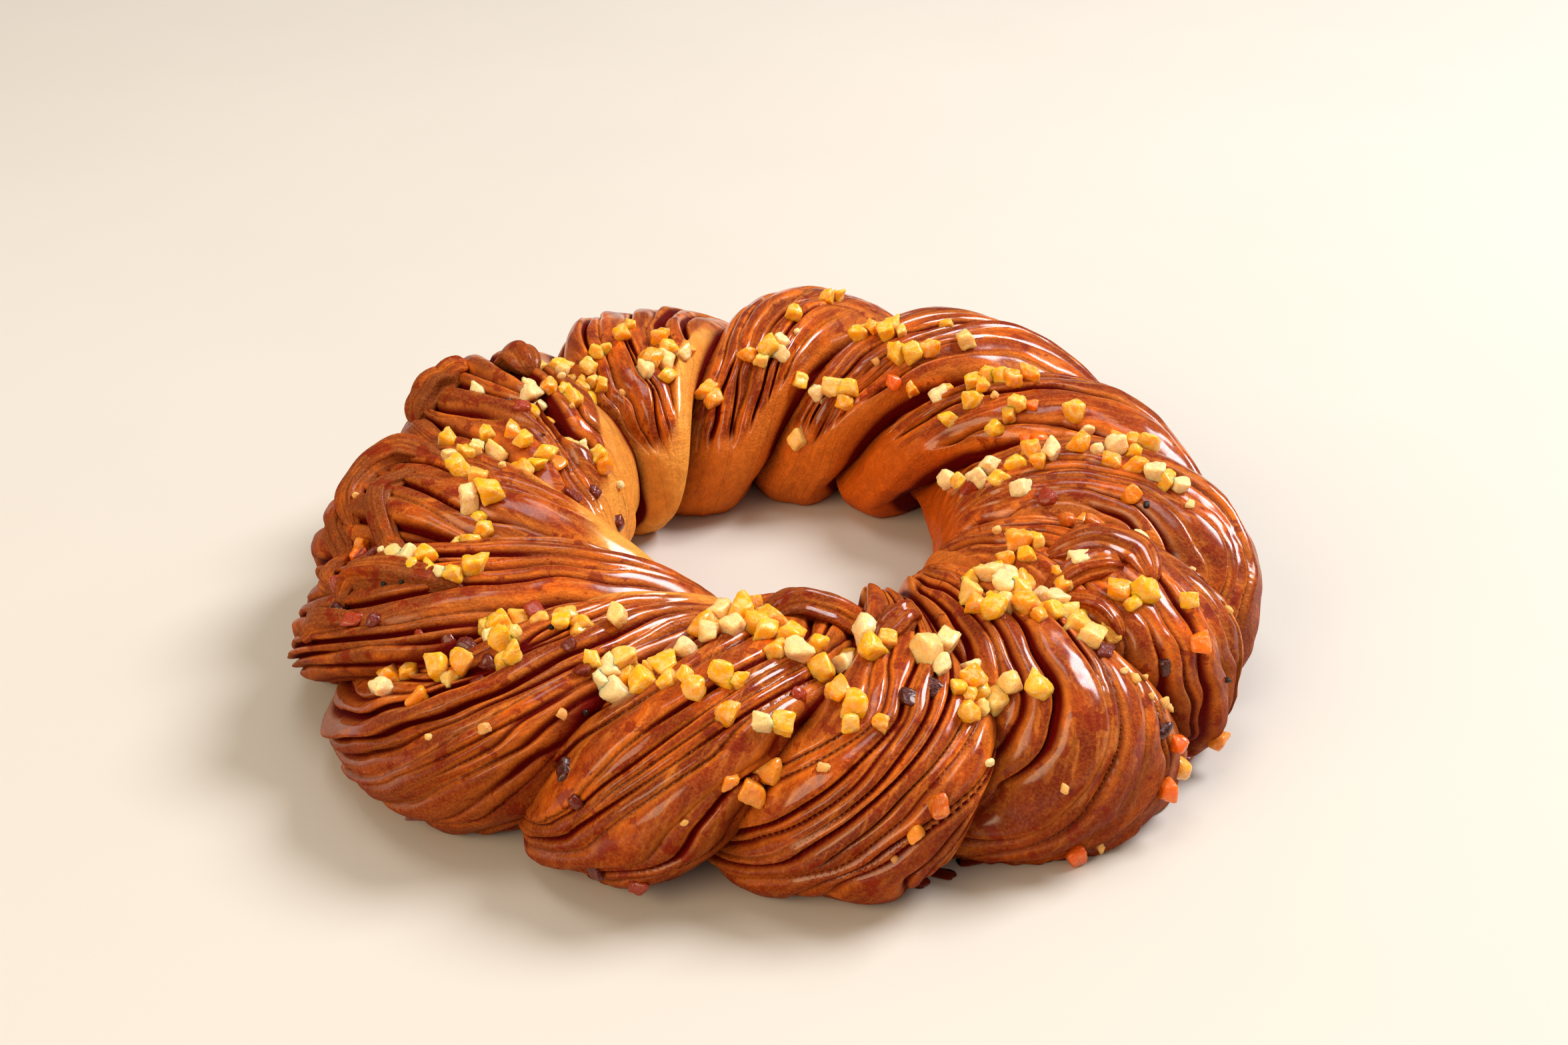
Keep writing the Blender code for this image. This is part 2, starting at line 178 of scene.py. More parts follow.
@dataclass(frozen=True)
class Seam:
    """Where two lobes meet: its azimuth at four tube angles, and how far it sags between the
    crest and the heel."""

    heel: float
    crest: float
    shoulder: float
    foot: float
    sag: float = 0.0

    def azimuth(self, tube: Array) -> Array:
        """The seam as a smooth curve through its four places.

        Args:
            tube: tube angles.

        Returns:
            The seam's azimuth in degrees at each.
        """
        xs, ys = SEAM_STOPS, (self.heel, self.crest, self.shoulder, self.foot)
        slopes = [(ys[k + 1] - ys[k]) / (xs[k + 1] - xs[k]) for k in range(3)]
        ends = (slopes[0], (slopes[0] + slopes[1]) / 2, (slopes[1] + slopes[2]) / 2, slopes[2])
        tube = np.clip(np.asarray(tube, float), *SEAM_ENDS)
        found = np.where(tube > xs[0], ys[0] + ends[0] * (tube - xs[0]),
                         ys[3] + ends[3] * (tube - xs[3]))
        for k in range(3):
            span = xs[k + 1] - xs[k]
            f = (tube - xs[k]) / span
            rise = (2 * f ** 3 - 3 * f ** 2 + 1) * ys[k] + (3 * f ** 2 - 2 * f ** 3) * ys[k + 1]
            bend = (f ** 3 - 2 * f ** 2 + f) * ends[k] + (f ** 3 - f ** 2) * ends[k + 1]
            found = np.where((tube <= xs[k]) & (tube >= xs[k + 1]), rise + bend * span, found)
        inward = np.clip((tube - xs[1]) / (xs[0] - xs[1]), 0, 1)
        return found - 4 * self.sag * inward * (1 - inward)


@dataclass(frozen=True)
class Lobe:
    """One turn of a strand, between its seam with the lobe before and its seam with the next.

    Its sizes and cuts are in millimetres, its leaves are widths next to each other's, and its crust
    starts at tube angles: crust_from across the lobe and band_from along its first edge.
    """

    name: str
    seam: Seam
    top: float
    reach: float
    half_width: float
    under: float
    leaves: tuple[float, ...]
    cut: float = 1.6
    crust_from: float = 152.0
    band_from: float = 112.0
    bake: float = 0.5
    scorch: float = 0.1
    spiral: float = 0.45
    # After how many leaves a deep crevice opens on the crest, and how deep it is; 0 deep for none.
    crevice: tuple[int, float] = (0, 0.0)


LOBES = (
    Lobe("front_left", Seam(281, 254, 248, 242), 52, 8, 46, 30, (4, 5, 8, 6, 8, 7, 8, 5, 5, 5),
         cut=2.6, crust_from=128, band_from=96, spiral=0.5, bake=0.05, scorch=0.3),
    Lobe("front", Seam(298, 282, 271, 263), 55, 6, 46, 27, (5, 12, 6, 9, 15, 6, 5, 4),
         cut=1.1, crust_from=135, band_from=112, spiral=0.85, bake=0.4),
    Lobe("front_right", Seam(306, 294, 294, 288), 54, 8, 45, 27, (6, 5, 24, 6, 19, 5, 5, 4),
         cut=1.2, spiral=0.9, bake=0.5),
    Lobe("right_front", Seam(313, 311, 313, 322), 56, 9, 46, 36, (8, 6, 5, 8, 17, 6),
         cut=1.3, spiral=0.8, bake=0.6),
    Lobe("right", Seam(320, 338, 335, 333), 56, 4, 46, 30, (6, 4, 4, 5, 4, 9, 5, 6), cut=1.7,
         bake=0.7),
    Lobe("right_back", Seam(405, 371, 361, 350, sag=5), 55, 0, 47, 28, (7, 4, 4, 5, 4, 6, 12, 10, 6),
         cut=1.5, band_from=140, bake=1),
    Lobe("back_right", Seam(428, 400, 386, 372), 54, -2, 40, 28, (6, 22, 10, 4, 3, 4), cut=1.9,
         band_from=135, bake=0.95),
    Lobe("back_right_2", Seam(452, 433, 426, 415), 56, 0, 42, 28, (9, 5, 4, 4, 6, 5, 12), cut=1.7,
         crust_from=160, band_from=122, bake=0.8),
    Lobe("back", Seam(484, 462, 454, 444), 57, -1, 46, 28, (8, 5, 4, 7, 5, 9, 5, 6), cut=1.8,
         crust_from=162, band_from=126, bake=0.75),
    Lobe("back_left", Seam(498, 498, 487, 478), 54, -3, 46, 28, (12, 5, 4, 6, 5, 8, 4, 6),
         cut=2.2, band_from=74, bake=0, crevice=(2, 3.0)),
    Lobe("left_back", Seam(600, 536, 528, 521), 59, -10, 41, 30, (13, 6, 9, 5, 8, 5, 9),
         cut=3.8, crust_from=144, band_from=112, scorch=0.75, bake=0.12, crevice=(2, 7.0)),
    Lobe("left", Seam(616, 570, 556, 547), 54, -8, 43, 30, (11, 5, 7, 5, 12, 6, 9),
         cut=3.0, crust_from=124, band_from=94, scorch=0.75, bake=0),
    Lobe("left_front", Seam(634, 593, 585, 564), 52, -1, 46, 30, (7, 5, 10, 4, 6, 5, 8, 5),
         cut=2.6, band_from=120, scorch=0.6, bake=0.2),
)


class Seed(IntEnum):
    """The random seed of each feature of the first lobe; the next lobes' seeds count on from it."""

    WIDTH = 100
    WAVE = 150
    PINCH = 200
    CRUST = 300
    OWN_CUT = 400
    CUT = 500
    LIFT = 600
    LEAN = 650
    TONE = 700
    UNEVEN = 800


class Workshop:
    """Makes mesh objects and hands them over to the frame."""

    @staticmethod
    def mesh(name: str, points: Array, faces: list[tuple[int, ...]]) -> Object:
        """A smooth-shaded mesh object with its normals turned outward.

        Args:
            name: the object's name.
            points: its points, in metres.
            faces: the corners of each face, as numbers of points.

        Returns:
            The object, linked to the scene.
        """
        data = bpy.data.meshes.new(name)
        data.from_pydata(np.asarray(points, float).reshape(-1, 3).tolist(), [], faces)
        data.update()
        data.calc_loop_triangles()
        corners = np.empty(len(data.loop_triangles) * 3, np.int32)
        data.loop_triangles.foreach_get("vertices", corners)
        places = np.empty(len(data.vertices) * 3, np.float32)
        data.vertices.foreach_get("co", places)
        places = places.reshape(-1, 3)[corners.reshape(-1, 3)].astype(float)
        if np.linalg.det(places - places.mean(axis=(0, 1))).sum() < 0:
            data.flip_normals()
        data.polygons.foreach_set("use_smooth", [True] * len(data.polygons))
        made = bpy.data.objects.new(name, data)
        bpy.context.scene.collection.objects.link(made)
        return made

    @staticmethod
    def store(piece: Object, **values: Array | float) -> None:
        """Stores numbers and vectors at each point, for its material to read.

        Args:
            piece: the object.
            values: by attribute name, one for each point or one for them all.
        """
        for name, value in values.items():
            value = np.asarray(value, np.float32)
            kind, field_name = ("FLOAT_VECTOR", "vector") if value.ndim == 2 else ("FLOAT", "value")
            if value.ndim == 0:
                value = np.full(len(piece.data.vertices), value)
            stored = piece.data.attributes.new(name, kind, "POINT")
            stored.data.foreach_set(field_name, value.ravel())

    @staticmethod
    def hand_over(piece: Object, material: Material) -> None:
        """Gives a piece its material and its place in the kringle.

        Args:
            piece: the object.
            material: what it wears.
        """
        piece.data.materials.append(material)
        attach(piece, BODY)
        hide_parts(NODE)
        log.info("%s: %d faces", piece.name, len(piece.data.polygons))


@dataclass
class Twist:
    """The dough: thirteen lobes of two cut strands, wound round each other over a core."""

    section: Section = field(default_factory=Section)
    lobes: tuple[Lobe, ...] = LOBES
    # Tube angles, and how many rows lie before each: close together where the dough shows.
    row_stops: tuple[tuple[float, int], ...] = ((-72.0, 0), (-30.0, 12), (208.0, 172), (252.0, 184))
    columns: int = 156
    # Radii in millimetres that turn degrees round the ring and round the section into lengths.
    width_radius: float = 105.0
    tube_radius: float = 42.0
    # The width in millimetres from which a lobe is at its fullest.
    full_width: float = 48.0
    # How deep the seams are, how sharply they start, how far one lobe laps over the next, and how
    # far lobes run on under each other, all as shares.
    seam_depth: float = 0.29
    seam_power: float = 3.0
    lap: float = 0.085
    overreach: float = 0.10
    inner_scale: float = 0.45
    core_scale: float = 0.50
    core_reach: float = -8.0 * MM
    # Leaves that the pattern starts before a lobe's first edge.
    lead: int = 2
    # How the leaves turn round the strand: below which tube angle, over how many degrees they take
    # their full turn, how many turns they can take, and how slowly they start.
    turn_below: float = 95.0
    turn_over: float = 115.0
    turn_most: float = 1.3
    turn_power: float = 1.15
    # How much and over how many degrees a leaf's width drifts, in long and in short waves, and how
    # much of it a pinched leaf loses.
    width_waves: tuple[Pair, ...] = ((0.42, 41.0), (0.16, 13.0))
    pinch_loss: float = 0.75
    # The least and the most of a lobe's depth of cut that each of its cuts is made to.
    own_depth: Pair = (0.45, 1.5)
    # Half the width of a cut in millimetres: the least, what its lobe's depth of cut adds and what
    # its leaf's width adds, then what a crevice's depth adds.
    cut_width: Triple = (0.46, 0.13, 0.02)
    crevice_width: float = 0.32
    # The highest crown of a leaf and the height of crust, in millimetres.
    highest_crown: float = 1.5
    crust_height: float = 1.2
    # How much a leaf leans to one side, and the width in millimetres from which it leans no more.
    tilt: float = 0.42
    tilt_width: float = 8.0
    crust_fade: float = 11.0
    # How much unevenness the crust lacks, and relief the calm places.
    calmed: float = 0.75
    # Tube angles between which the cuts deepen from the foot up, a crevice opens from the outside
    # and from the inside, and then, toward the outside, the relief calms at the seams, the painted
    # shade at the seams fades and the scorching grows.
    cuts_deepen: Pair = (-32.0, 8.0)
    crevice_opens: tuple[Pair, ...] = ((60.0, 85.0), (160.0, 135.0))
    relief_calms: Pair = (75.0, 30.0)
    seam_shade_fades: Pair = (70.0, 30.0)
    scorch_grows: Pair = (112.0, 42.0)
    # Layers of unevenness: the height and the spacings across and along in millimetres, and whether
    # the crust has less of it.
    unevenness: tuple[tuple[float, float, float, bool], ...] = (
        (0.9, 17, 23, False), (0.07, 1.7, 13, True), (0.12, 2.6, 3.1, True), (0.35, 6.5, 9, False))
    pieces: list[Object] = field(default_factory=list)

    def sides(self, index: int, tube: Array) -> tuple[Array, Array]:
        """A lobe's first azimuth and how many degrees wide it is, at some tube angles."""
        first = self.lobes[index - 1].seam.azimuth(tube) - (360 if index == 0 else 0)
        return first, self.lobes[index].seam.azimuth(tube) - first

    def edges(self, index: int, tube: Array) -> Array:
        """Where the cuts between a lobe's leaves lie.

        Args:
            index: which lobe.
            tube: tube angle of each row.

        Returns:
            For each row, every edge as a share across the lobe, from before its first edge to past
            its last.
        """
        lobe = self.lobes[index]
        count = len(lobe.leaves)
        extra = int(math.ceil(count * (1.6 * lobe.spiral + 0.4)))
        widths = np.array([lobe.leaves[k % count] for k in range(-self.lead, count + extra)], float)
        widths /= sum(lobe.leaves)
        lanes = np.arange(len(widths))[None, :] * 7.31
        rows = tube[:, None]
        (most, long), (least, short) = self.width_waves
        widths = widths * (1 + most * drift(rows / long, lanes, Seed.WIDTH + index)
                           + least * drift(rows / short, lanes, Seed.WAVE + index))
        pinch = smooth(drift(rows / 60, lanes + 3, Seed.PINCH + index) * 2.2 - 0.7)
        widths = widths * (1 - self.pinch_loss * pinch)
        widths = widths / widths[:, self.lead:self.lead + count].sum(axis=1, keepdims=True)
        ends = np.concatenate([np.zeros((len(tube), 1)), np.cumsum(widths, axis=1)], axis=1)
        return ends - ends[:, self.lead:self.lead + 1]

    def relief(self, index: int, tube: Array, share: Array) -> tuple[Array, ...]:
        """The leaves of a lobe.

        Args:
            index: which lobe.
            tube: tube angle of each row.
            share: share across the lobe, for each row and column.

        Returns:
            For each row and column: the height in millimetres, how much of it is crest, the share
            of crust, and a number of each leaf's own.
        """
        lobe = self.lobes[index]
        rows = tube[:, None]
        turned = share + lobe.spiral * np.clip(
            (self.turn_below - rows) / self.turn_over, 0, self.turn_most) ** self.turn_power
        edges = self.edges(index, tube)
        count = edges.shape[1] - 1
        lanes = np.arange(count + 1)[None, :]
        leaf = (turned[..., None] > edges[:, None, 1:-1]).sum(axis=-1)

        def at(table: Array, step: int = 0) -> Array:
            """The value of a table at each place's leaf, or at a leaf that many steps on."""
            return np.take_along_axis(table, np.clip(leaf + step, 0, table.shape[1] - 1), axis=1)

        own = np.random.default_rng(Seed.OWN_CUT + index).uniform(*self.own_depth, count + 1)[None, :]
        cuts = 0.10 + smooth(0.58 + 0.95 * drift(rows / 36, lanes * 3.7, Seed.CUT + index))
        cuts = lobe.cut * own * cuts
        leaves_before, depth = lobe.crevice
        crevice = self.lead + leaves_before
        outside, inside = self.crevice_opens
        cuts[:, crevice] += depth * ramp(tube, *outside) * ramp(tube, *inside)
        lifts = (0.55 * lobe.cut + 0.35) * drift(rows / 55, lanes * 5.9, Seed.LIFT + index)
        crust = self.crust_share(index, rows, share)
        span = at(edges, 1) - at(edges)
        s = np.clip((turned - at(edges)) / span, 0, 1)
        wide = span * np.radians(self.sides(index, rows)[1]) * self.width_radius
        least, by_depth, by_width = self.cut_width
        core = least + by_depth * lobe.cut + by_width * wide
        opened = self.crevice_width * depth * (lanes == crevice) + 0 * edges
        low = np.exp(-(s * wide / (core + at(opened))) ** 1.5)
        high = np.exp(-((1 - s) * wide / (core + at(opened, 1))) ** 1.5)
        gap = (at(cuts) * low + at(cuts, 1) * high) * (1 - crust)
        gap = gap * mix(0.55, 1.0, ramp(rows, *self.cuts_deepen))
        lift = at(lifts)
        level = lift + (at(lifts, -1) - lift) * low / 2 + (at(lifts, 1) - lift) * high / 2
        hump = 1 - np.abs(2 * s - 1) ** 3
        crown = np.minimum(0.15 * wide, self.highest_crown) * hump
        tilts = self.tilt * drift(rows / 50, lanes * 4.3, Seed.LEAN + index)
        lean = at(tilts) * (s - 0.5) * np.minimum(wide, self.tilt_width)
        height = (level + crown + lean) * (1 - crust) - gap + self.crust_height * crust
        # The crest is low in the cuts, where the finish paints shade with it.
        crest = np.clip(1 - gap / (0.55 * lobe.cut + 0.6), 0, 1) * (0.6 + 0.4 * hump)
        tones = np.random.default_rng(Seed.TONE + index).uniform(0, 1, (1, count + 1))
        return height, np.maximum(crest, crust), crust, at(tones + 0 * edges)

    def crust_share(self, index: int, rows: Array, share: Array) -> Array:
        """Where a lobe is uncut crust, which rises along its first edge.

        Args:
            index: which lobe.
            rows: tube angle of each row.
            share: share across the lobe, for each row and column.

        Returns:
            How much of each place is crust.
        """
        lobe = self.lobes[index]
        start = mix(lobe.band_from, lobe.crust_from, smooth(share / 0.5))
        start = start + 5 * drift(share * 6, rows / 30, Seed.CRUST + index)
        return smooth((rows - start) / self.crust_fade)

    def shape_at(self, index: int, share: Array) -> Shape:
        """The section's shape across a lobe, easing into its neighbours' shapes.

        Args:
            index: which lobe.
            share: shares across it.

        Returns:
            The shape at each share.
        """
        here, last = self.lobes[index], self.lobes[index - 1]
        following = self.lobes[(index + 1) % len(self.lobes)]
        near = 0.5 * smooth(np.abs(2 * share - 1))
        sizes = []
        for name in ("top", "reach", "half_width", "under"):
            other = np.where(share > 0.5, getattr(following, name), getattr(last, name))
            sizes.append(mix(getattr(here, name), other, near) * MM)
        return Shape(*sizes)

    def lobe_surface(self, index: int) -> Object:
        """One lobe, as a closed shell that overlaps its neighbours and the core.

        Args:
            index: which lobe.

        Returns:
            The piece, with what its material reads stored at each point.
        """
        lobe = self.lobes[index]
        angles, counts = zip(*self.row_stops)
        tube = np.interp(np.arange(counts[-1] + 1), counts, angles)
        rows = tube[:, None]
        share = np.linspace(-self.overreach, 1 + self.overreach, self.columns)[None, :] + 0 * rows
        height, crest, crust, tone = self.relief(index, tube, share)
        first, width = self.sides(index, rows)
        along = np.radians(rows) * self.tube_radius
        across = share * np.radians(width) * self.width_radius
        rough = 1 - self.calmed * crust
        for number, (size, wide, long, less_on_crust) in enumerate(self.unevenness):
            uneven = drift(across / wide, along / long, Seed.UNEVEN + 100 * number + index)
            height = height + (rough if less_on_crust else 1) * size * uneven
        side = 2 * share - 1
        calm = ramp(np.abs(side), 0.86, 1.12) * ramp(rows, *self.relief_calms)
        height = height * (1 - self.calmed * calm)
        lap = np.cos(np.radians(rows)) * self.lap
        fullness = np.clip(np.radians(width) * self.width_radius / self.full_width, 0.25, 1.0)
        scale = (1 - fullness * (self.seam_depth * np.abs(side) ** self.seam_power - lap * side)
                 + height * MM / self.section.half_height)
        shell = self.section.points(first + width * share, rows, scale, self.shape_at(index, share))
        # The hidden inner side of the shell runs back across the lobe.
        back = np.array([1 + self.overreach, 0.75, 0.5, 0.25, -self.overreach])[None, :]
        inner = self.section.points(first + width * back, rows, self.inner_scale,
                                    self.shape_at(index, back))
        ring = above_table(np.concatenate([shell, inner], axis=1))
        piece = Workshop.mesh("lobe_" + lobe.name, *self.closed_shell(ring))
        # Painted shade between lobes: the crest stored falls towards the seams, so the finish darkens
        # them, less toward the outside.
        depth = np.maximum(np.clip(1 - np.abs(side) ** 9, 0, 1), 0.55 * ramp(rows, *self.seam_shade_fades))

        def spread(part: Array | float) -> Array:
            """The values of the outer side, or one for all of it, as a value for every point."""
            grid = np.zeros(ring.shape[:2])
            grid[:, :self.columns] = part
            return np.append(grid, (0, 0))

        strand = np.stack([spread(part) for part in (across, along, tone * 50)], axis=1)
        scorch = lobe.scorch * ramp(rows, *self.scorch_grows)
        Workshop.store(piece, crest=spread(crest * depth), crust=spread(crust), leaf=spread(tone),
                       bake=spread(lobe.bake), scorch=spread(scorch), strand=strand)
        return piece

    @staticmethod
    def closed_shell(ring: Array) -> tuple[Array, list[tuple[int, ...]]]:
        """A shell through rings of points, with a fan over each end.

        Args:
            ring: one point for each ring and each place round it.

        Returns:
            The points, with the two middles of the fans last, and the faces.
        """
        rows, size = ring.shape[:2]
        index = np.arange(rows * size).reshape(rows, size)
        turned = np.roll(index, -1, axis=1)
        quads = np.stack([index[:-1], turned[:-1], turned[1:], index[1:]], axis=-1).reshape(-1, 4)
        faces = quads.tolist()
        points = ring.reshape(-1, 3)
        for row, order in ((0, 1), (rows - 1, -1)):
            middle = len(points)
            points = np.concatenate([points, ring[row].mean(axis=0)[None, :]])
            for pair in zip(index[row].tolist(), turned[row].tolist()):
                faces.append((middle,) + (pair if order < 0 else pair[::-1]))
        return points, faces

    def core(self) -> Object:
        """The dough under the lobes, which they hide.

        Returns:
            The piece, as a closed ring.
        """
        azimuth = np.arange(0, 360, 4.0)[:, None]
        tube = np.arange(0, 360, 10.0)[None, :]
        usual = self.section.usual(self.core_reach)
        ring = above_table(self.section.points(azimuth, tube, self.core_scale, usual))
        index = np.arange(azimuth.size * tube.size).reshape(azimuth.size, tube.size)
        quads = np.stack([index, np.roll(index, -1, axis=1), np.roll(index, (-1, -1), axis=(0, 1)),
                          np.roll(index, -1, axis=0)], axis=-1)
        piece = Workshop.mesh("core", ring, quads.reshape(-1, 4).tolist())
        # Its crest of 0.35 gives the core mostly the painted shade of the cuts, where it shows between
        # the lobes.
        Workshop.store(piece, crest=0.35, crust=0.0, leaf=0.0, bake=0.0, scorch=0.0,
                       strand=ring.reshape(-1, 3) / MM)
        return piece

    def build(self, material: Material) -> None:
        """Makes the dough's pieces and dresses them.

        Args:
            material: what they wear.
        """
        self.pieces = [self.lobe_surface(index) for index in range(len(self.lobes))]
        self.pieces.append(self.core())
        for piece in self.pieces:
            Workshop.hand_over(piece, material)


@dataclass
class Ground:
    """The dough's surface, for what lies on it."""

    section: Section
    trees: list[BVHTree]
    # Where a ray towards the dough starts and aims, as shares of the plain section.
    start_scale: float = 1.5
    aim_scale: float = 0.4

    @classmethod
    def of(cls, twist: Twist) -> "Ground":
        """The surface of all the dough."""
        graph = bpy.context.evaluated_depsgraph_get()
        return cls(twist.section, [BVHTree.FromObject(piece, graph) for piece in twist.pieces])

    def below(self, azimuth: float, tube: float) -> tuple[Vector, Vector, Vector] | None:
        """Where the dough's surface is at a place.

        Args:
            azimuth: degrees round the ring.
            tube: degrees round the section.

        Returns:
            The point, its normal, and the direction out of the section, or None off the dough.
        """
        start = self.section.plain_point(azimuth, tube, self.start_scale)
        stop = self.section.plain_point(azimuth, tube, self.aim_scale)
        ray = (stop - start).normalized()
        best = None
        for tree in self.trees:
            hit, normal, _, distance = tree.ray_cast(start, ray)
            if hit is not None and (best is None or distance < best[3]):
                best = (hit, normal, -ray, distance)
        return best[:3] if best else None


@dataclass(frozen=True)
class Roll:
    """A curled end of dough.

    It holds the roll's route over the kringle as azimuths and tube angles, its radius in
    millimetres, how far it stands off the dough in radii, how scorched it is, and the shares of its
    radius at its two ends.
    """

    name: str
    route: tuple[Pair, ...]
    radius: float
    rise: float = 0.35
    scorch: float = 0.55
    taper: Pair = (1.0, 1.0)

    def stations(self, count: int) -> list[Pair]:
        """Places along the route, evenly by its own points.

        Args:
            count: how many.

        Returns:
            The azimuth and tube angle of each.
        """
        at = np.linspace(0, len(self.route) - 1, count)
        columns = [np.interp(at, range(len(self.route)), part) for part in zip(*self.route)]
        return list(zip(*columns))


ROLLS = (
    Roll("strand_end", ((268, 94), (273, 98), (280, 102), (287, 104)), 6.4, rise=0.22,
         taper=(0.45, 1.1)),
    Roll("strand_tip", ((284, 78), (288, 84), (291, 88)), 3.8, scorch=0.2),
    Roll("knob_outer", ((163, 62), (157, 70), (151, 80)), 5.6, scorch=0.9),
    Roll("knob_inner", ((149, 84), (148, 93), (152, 103)), 4.8, scorch=0.7),
    Roll("back_curl", ((163, 60), (167, 74), (173, 90), (181, 106)), 3.0, scorch=0.6),
    Roll("left_cap", ((181, 92), (179, 76), (183, 60), (193, 48)), 4.6, scorch=0.9),
    Roll("left_fold", ((186, 84), (191, 70), (200, 62), (208, 70)), 3.2, scorch=0.8),
    Roll("left_loop", ((187, 48), (191, 36), (199, 30), (208, 38)), 3.0, scorch=0.9),
    Roll("front_cap", ((222, 76), (213, 62), (208, 48), (211, 34)), 3.8, scorch=0.9),
    Roll("front_fold", ((216, 40), (210, 26), (208, 14)), 3.0, scorch=0.8),
    Roll("tuft_outer", ((318, 90), (324, 82), (326, 69), (323, 57)), 4.4, scorch=0.3),
    Roll("tuft_middle", ((312, 80), (318, 77), (323, 69)), 3.2, scorch=0.3),
    Roll("tuft_inner", ((313, 76), (315, 61), (315, 45)), 3.4, scorch=0.1),
)


@dataclass
class CurledEnds:
    """The rolled ends of strands and layers, which lie on the twist."""

    ground: Ground
    steps: int = 36
    turns: int = 44
    easings: int = 14
    # The folds that wind round a roll: how many, how deep, and their turn over its length. Then the
    # same for the creases in them.
    folds: tuple[int, float, float] = (5, 0.13, 3.0)
    creases: tuple[int, float, float] = (9, 0.05, 5.0)
    wander: float = 0.20
    wide: float = 1.25
    flat: float = 0.9
    tuck: float = 0.75

    def line(self, roll: Roll) -> tuple[Array, Array]:
        """Where a roll lies, eased over the dough's relief.

        Args:
            roll: the roll.

        Returns:
            The points of its middle, and the upward direction at each.
        """
        points, normals = [], []
        for number, (azimuth, tube) in enumerate(roll.stations(self.steps)):
            hit, _, outward = self.ground.below(azimuth, tube)
            rise = roll.rise - self.tuck * abs(2 * number / (self.steps - 1) - 1) ** 3
            points.append(hit + outward * roll.radius * rise * MM)
            normals.append(outward)
        line, upward = np.array(points), np.array(normals)
        for _ in range(self.easings):
            line[1:-1] = (line[:-2] + 2 * line[1:-1] + line[2:]) / 4
        return line, upward

    def make(self, roll: Roll, seed: int) -> Object:
        """One roll, as a folded, blunt-ended tube.

        Args:
            roll: the roll.
            seed: which set of random values its unevenness takes.

        Returns:
            The piece, with what its material reads stored at each point.
        """
        line, upward = self.line(roll)
        share = np.linspace(0, 1, self.steps)
        radius = roll.radius * MM * np.clip(1 - np.abs(2 * share - 1) ** 2.6, 0.01, 1) ** 0.6
        radius = radius * mix(*roll.taper, share)
        ahead = np.gradient(line, axis=0)
        ahead /= np.linalg.norm(ahead, axis=1, keepdims=True)
        sideways = np.cross(ahead, upward)
        sideways /= np.linalg.norm(sideways, axis=1, keepdims=True)
        upward = np.cross(sideways, ahead)
        around = np.linspace(0, math.tau, self.turns, endpoint=False)
        angle, length = around[None, :], share[:, None]
        number, fold_depth, turn = self.folds
        twist = number * angle + turn * length + seed
        folds = 1 + fold_depth * np.cos(twist)
        number, crease_depth, turn = self.creases
        folds = folds + crease_depth * np.cos(number * angle + turn * length)
        folds = folds + self.wander * drift(length * 3 + seed, np.cos(angle) * 2, 31 + seed)
        size = radius[:, None, None] * folds[..., None]
        ring = line[:, None, :] + size * (
            sideways[:, None, :] * np.cos(around)[None, :, None] * self.wide
            + upward[:, None, :] * np.sin(around)[None, :, None] * self.flat)
        piece = Workshop.mesh(roll.name, *Twist.closed_shell(ring))
        # Painted shade in the grooves between the folds: their crest is low, so the finish darkens them.
        fold_shading = np.clip((np.cos(twist) + 1.75) / 1.6, 0, 1)
        lanes = np.stack(np.broadcast_arrays(angle * 6, length * 34, 7.0 + seed), axis=-1)
        strand = np.concatenate([lanes.reshape(-1, 3), np.zeros((2, 3))])
        Workshop.store(piece, crest=np.append(fold_shading, (1, 1)), crust=0.0, leaf=0.75, bake=0.5,
                       scorch=roll.scorch, strand=strand)
        return piece

    def build(self, material: Material) -> None:
        """Makes every roll and dresses it."""
        for seed, roll in enumerate(ROLLS):
            Workshop.hand_over(self.make(roll, seed), material)


@dataclass(frozen=True)
class Cut:
    """How a small thing is shaped: its sizes, how long and how flat it is next to its width, how crisp
    its edges and how rough its skin are, and the share of it that sinks in."""

    sizes: Pair
    long: float = 1.0
    flat: float = 1.0
    crispness: float = 11.0
    rough: float = 0.07
    sink: float = 0.24


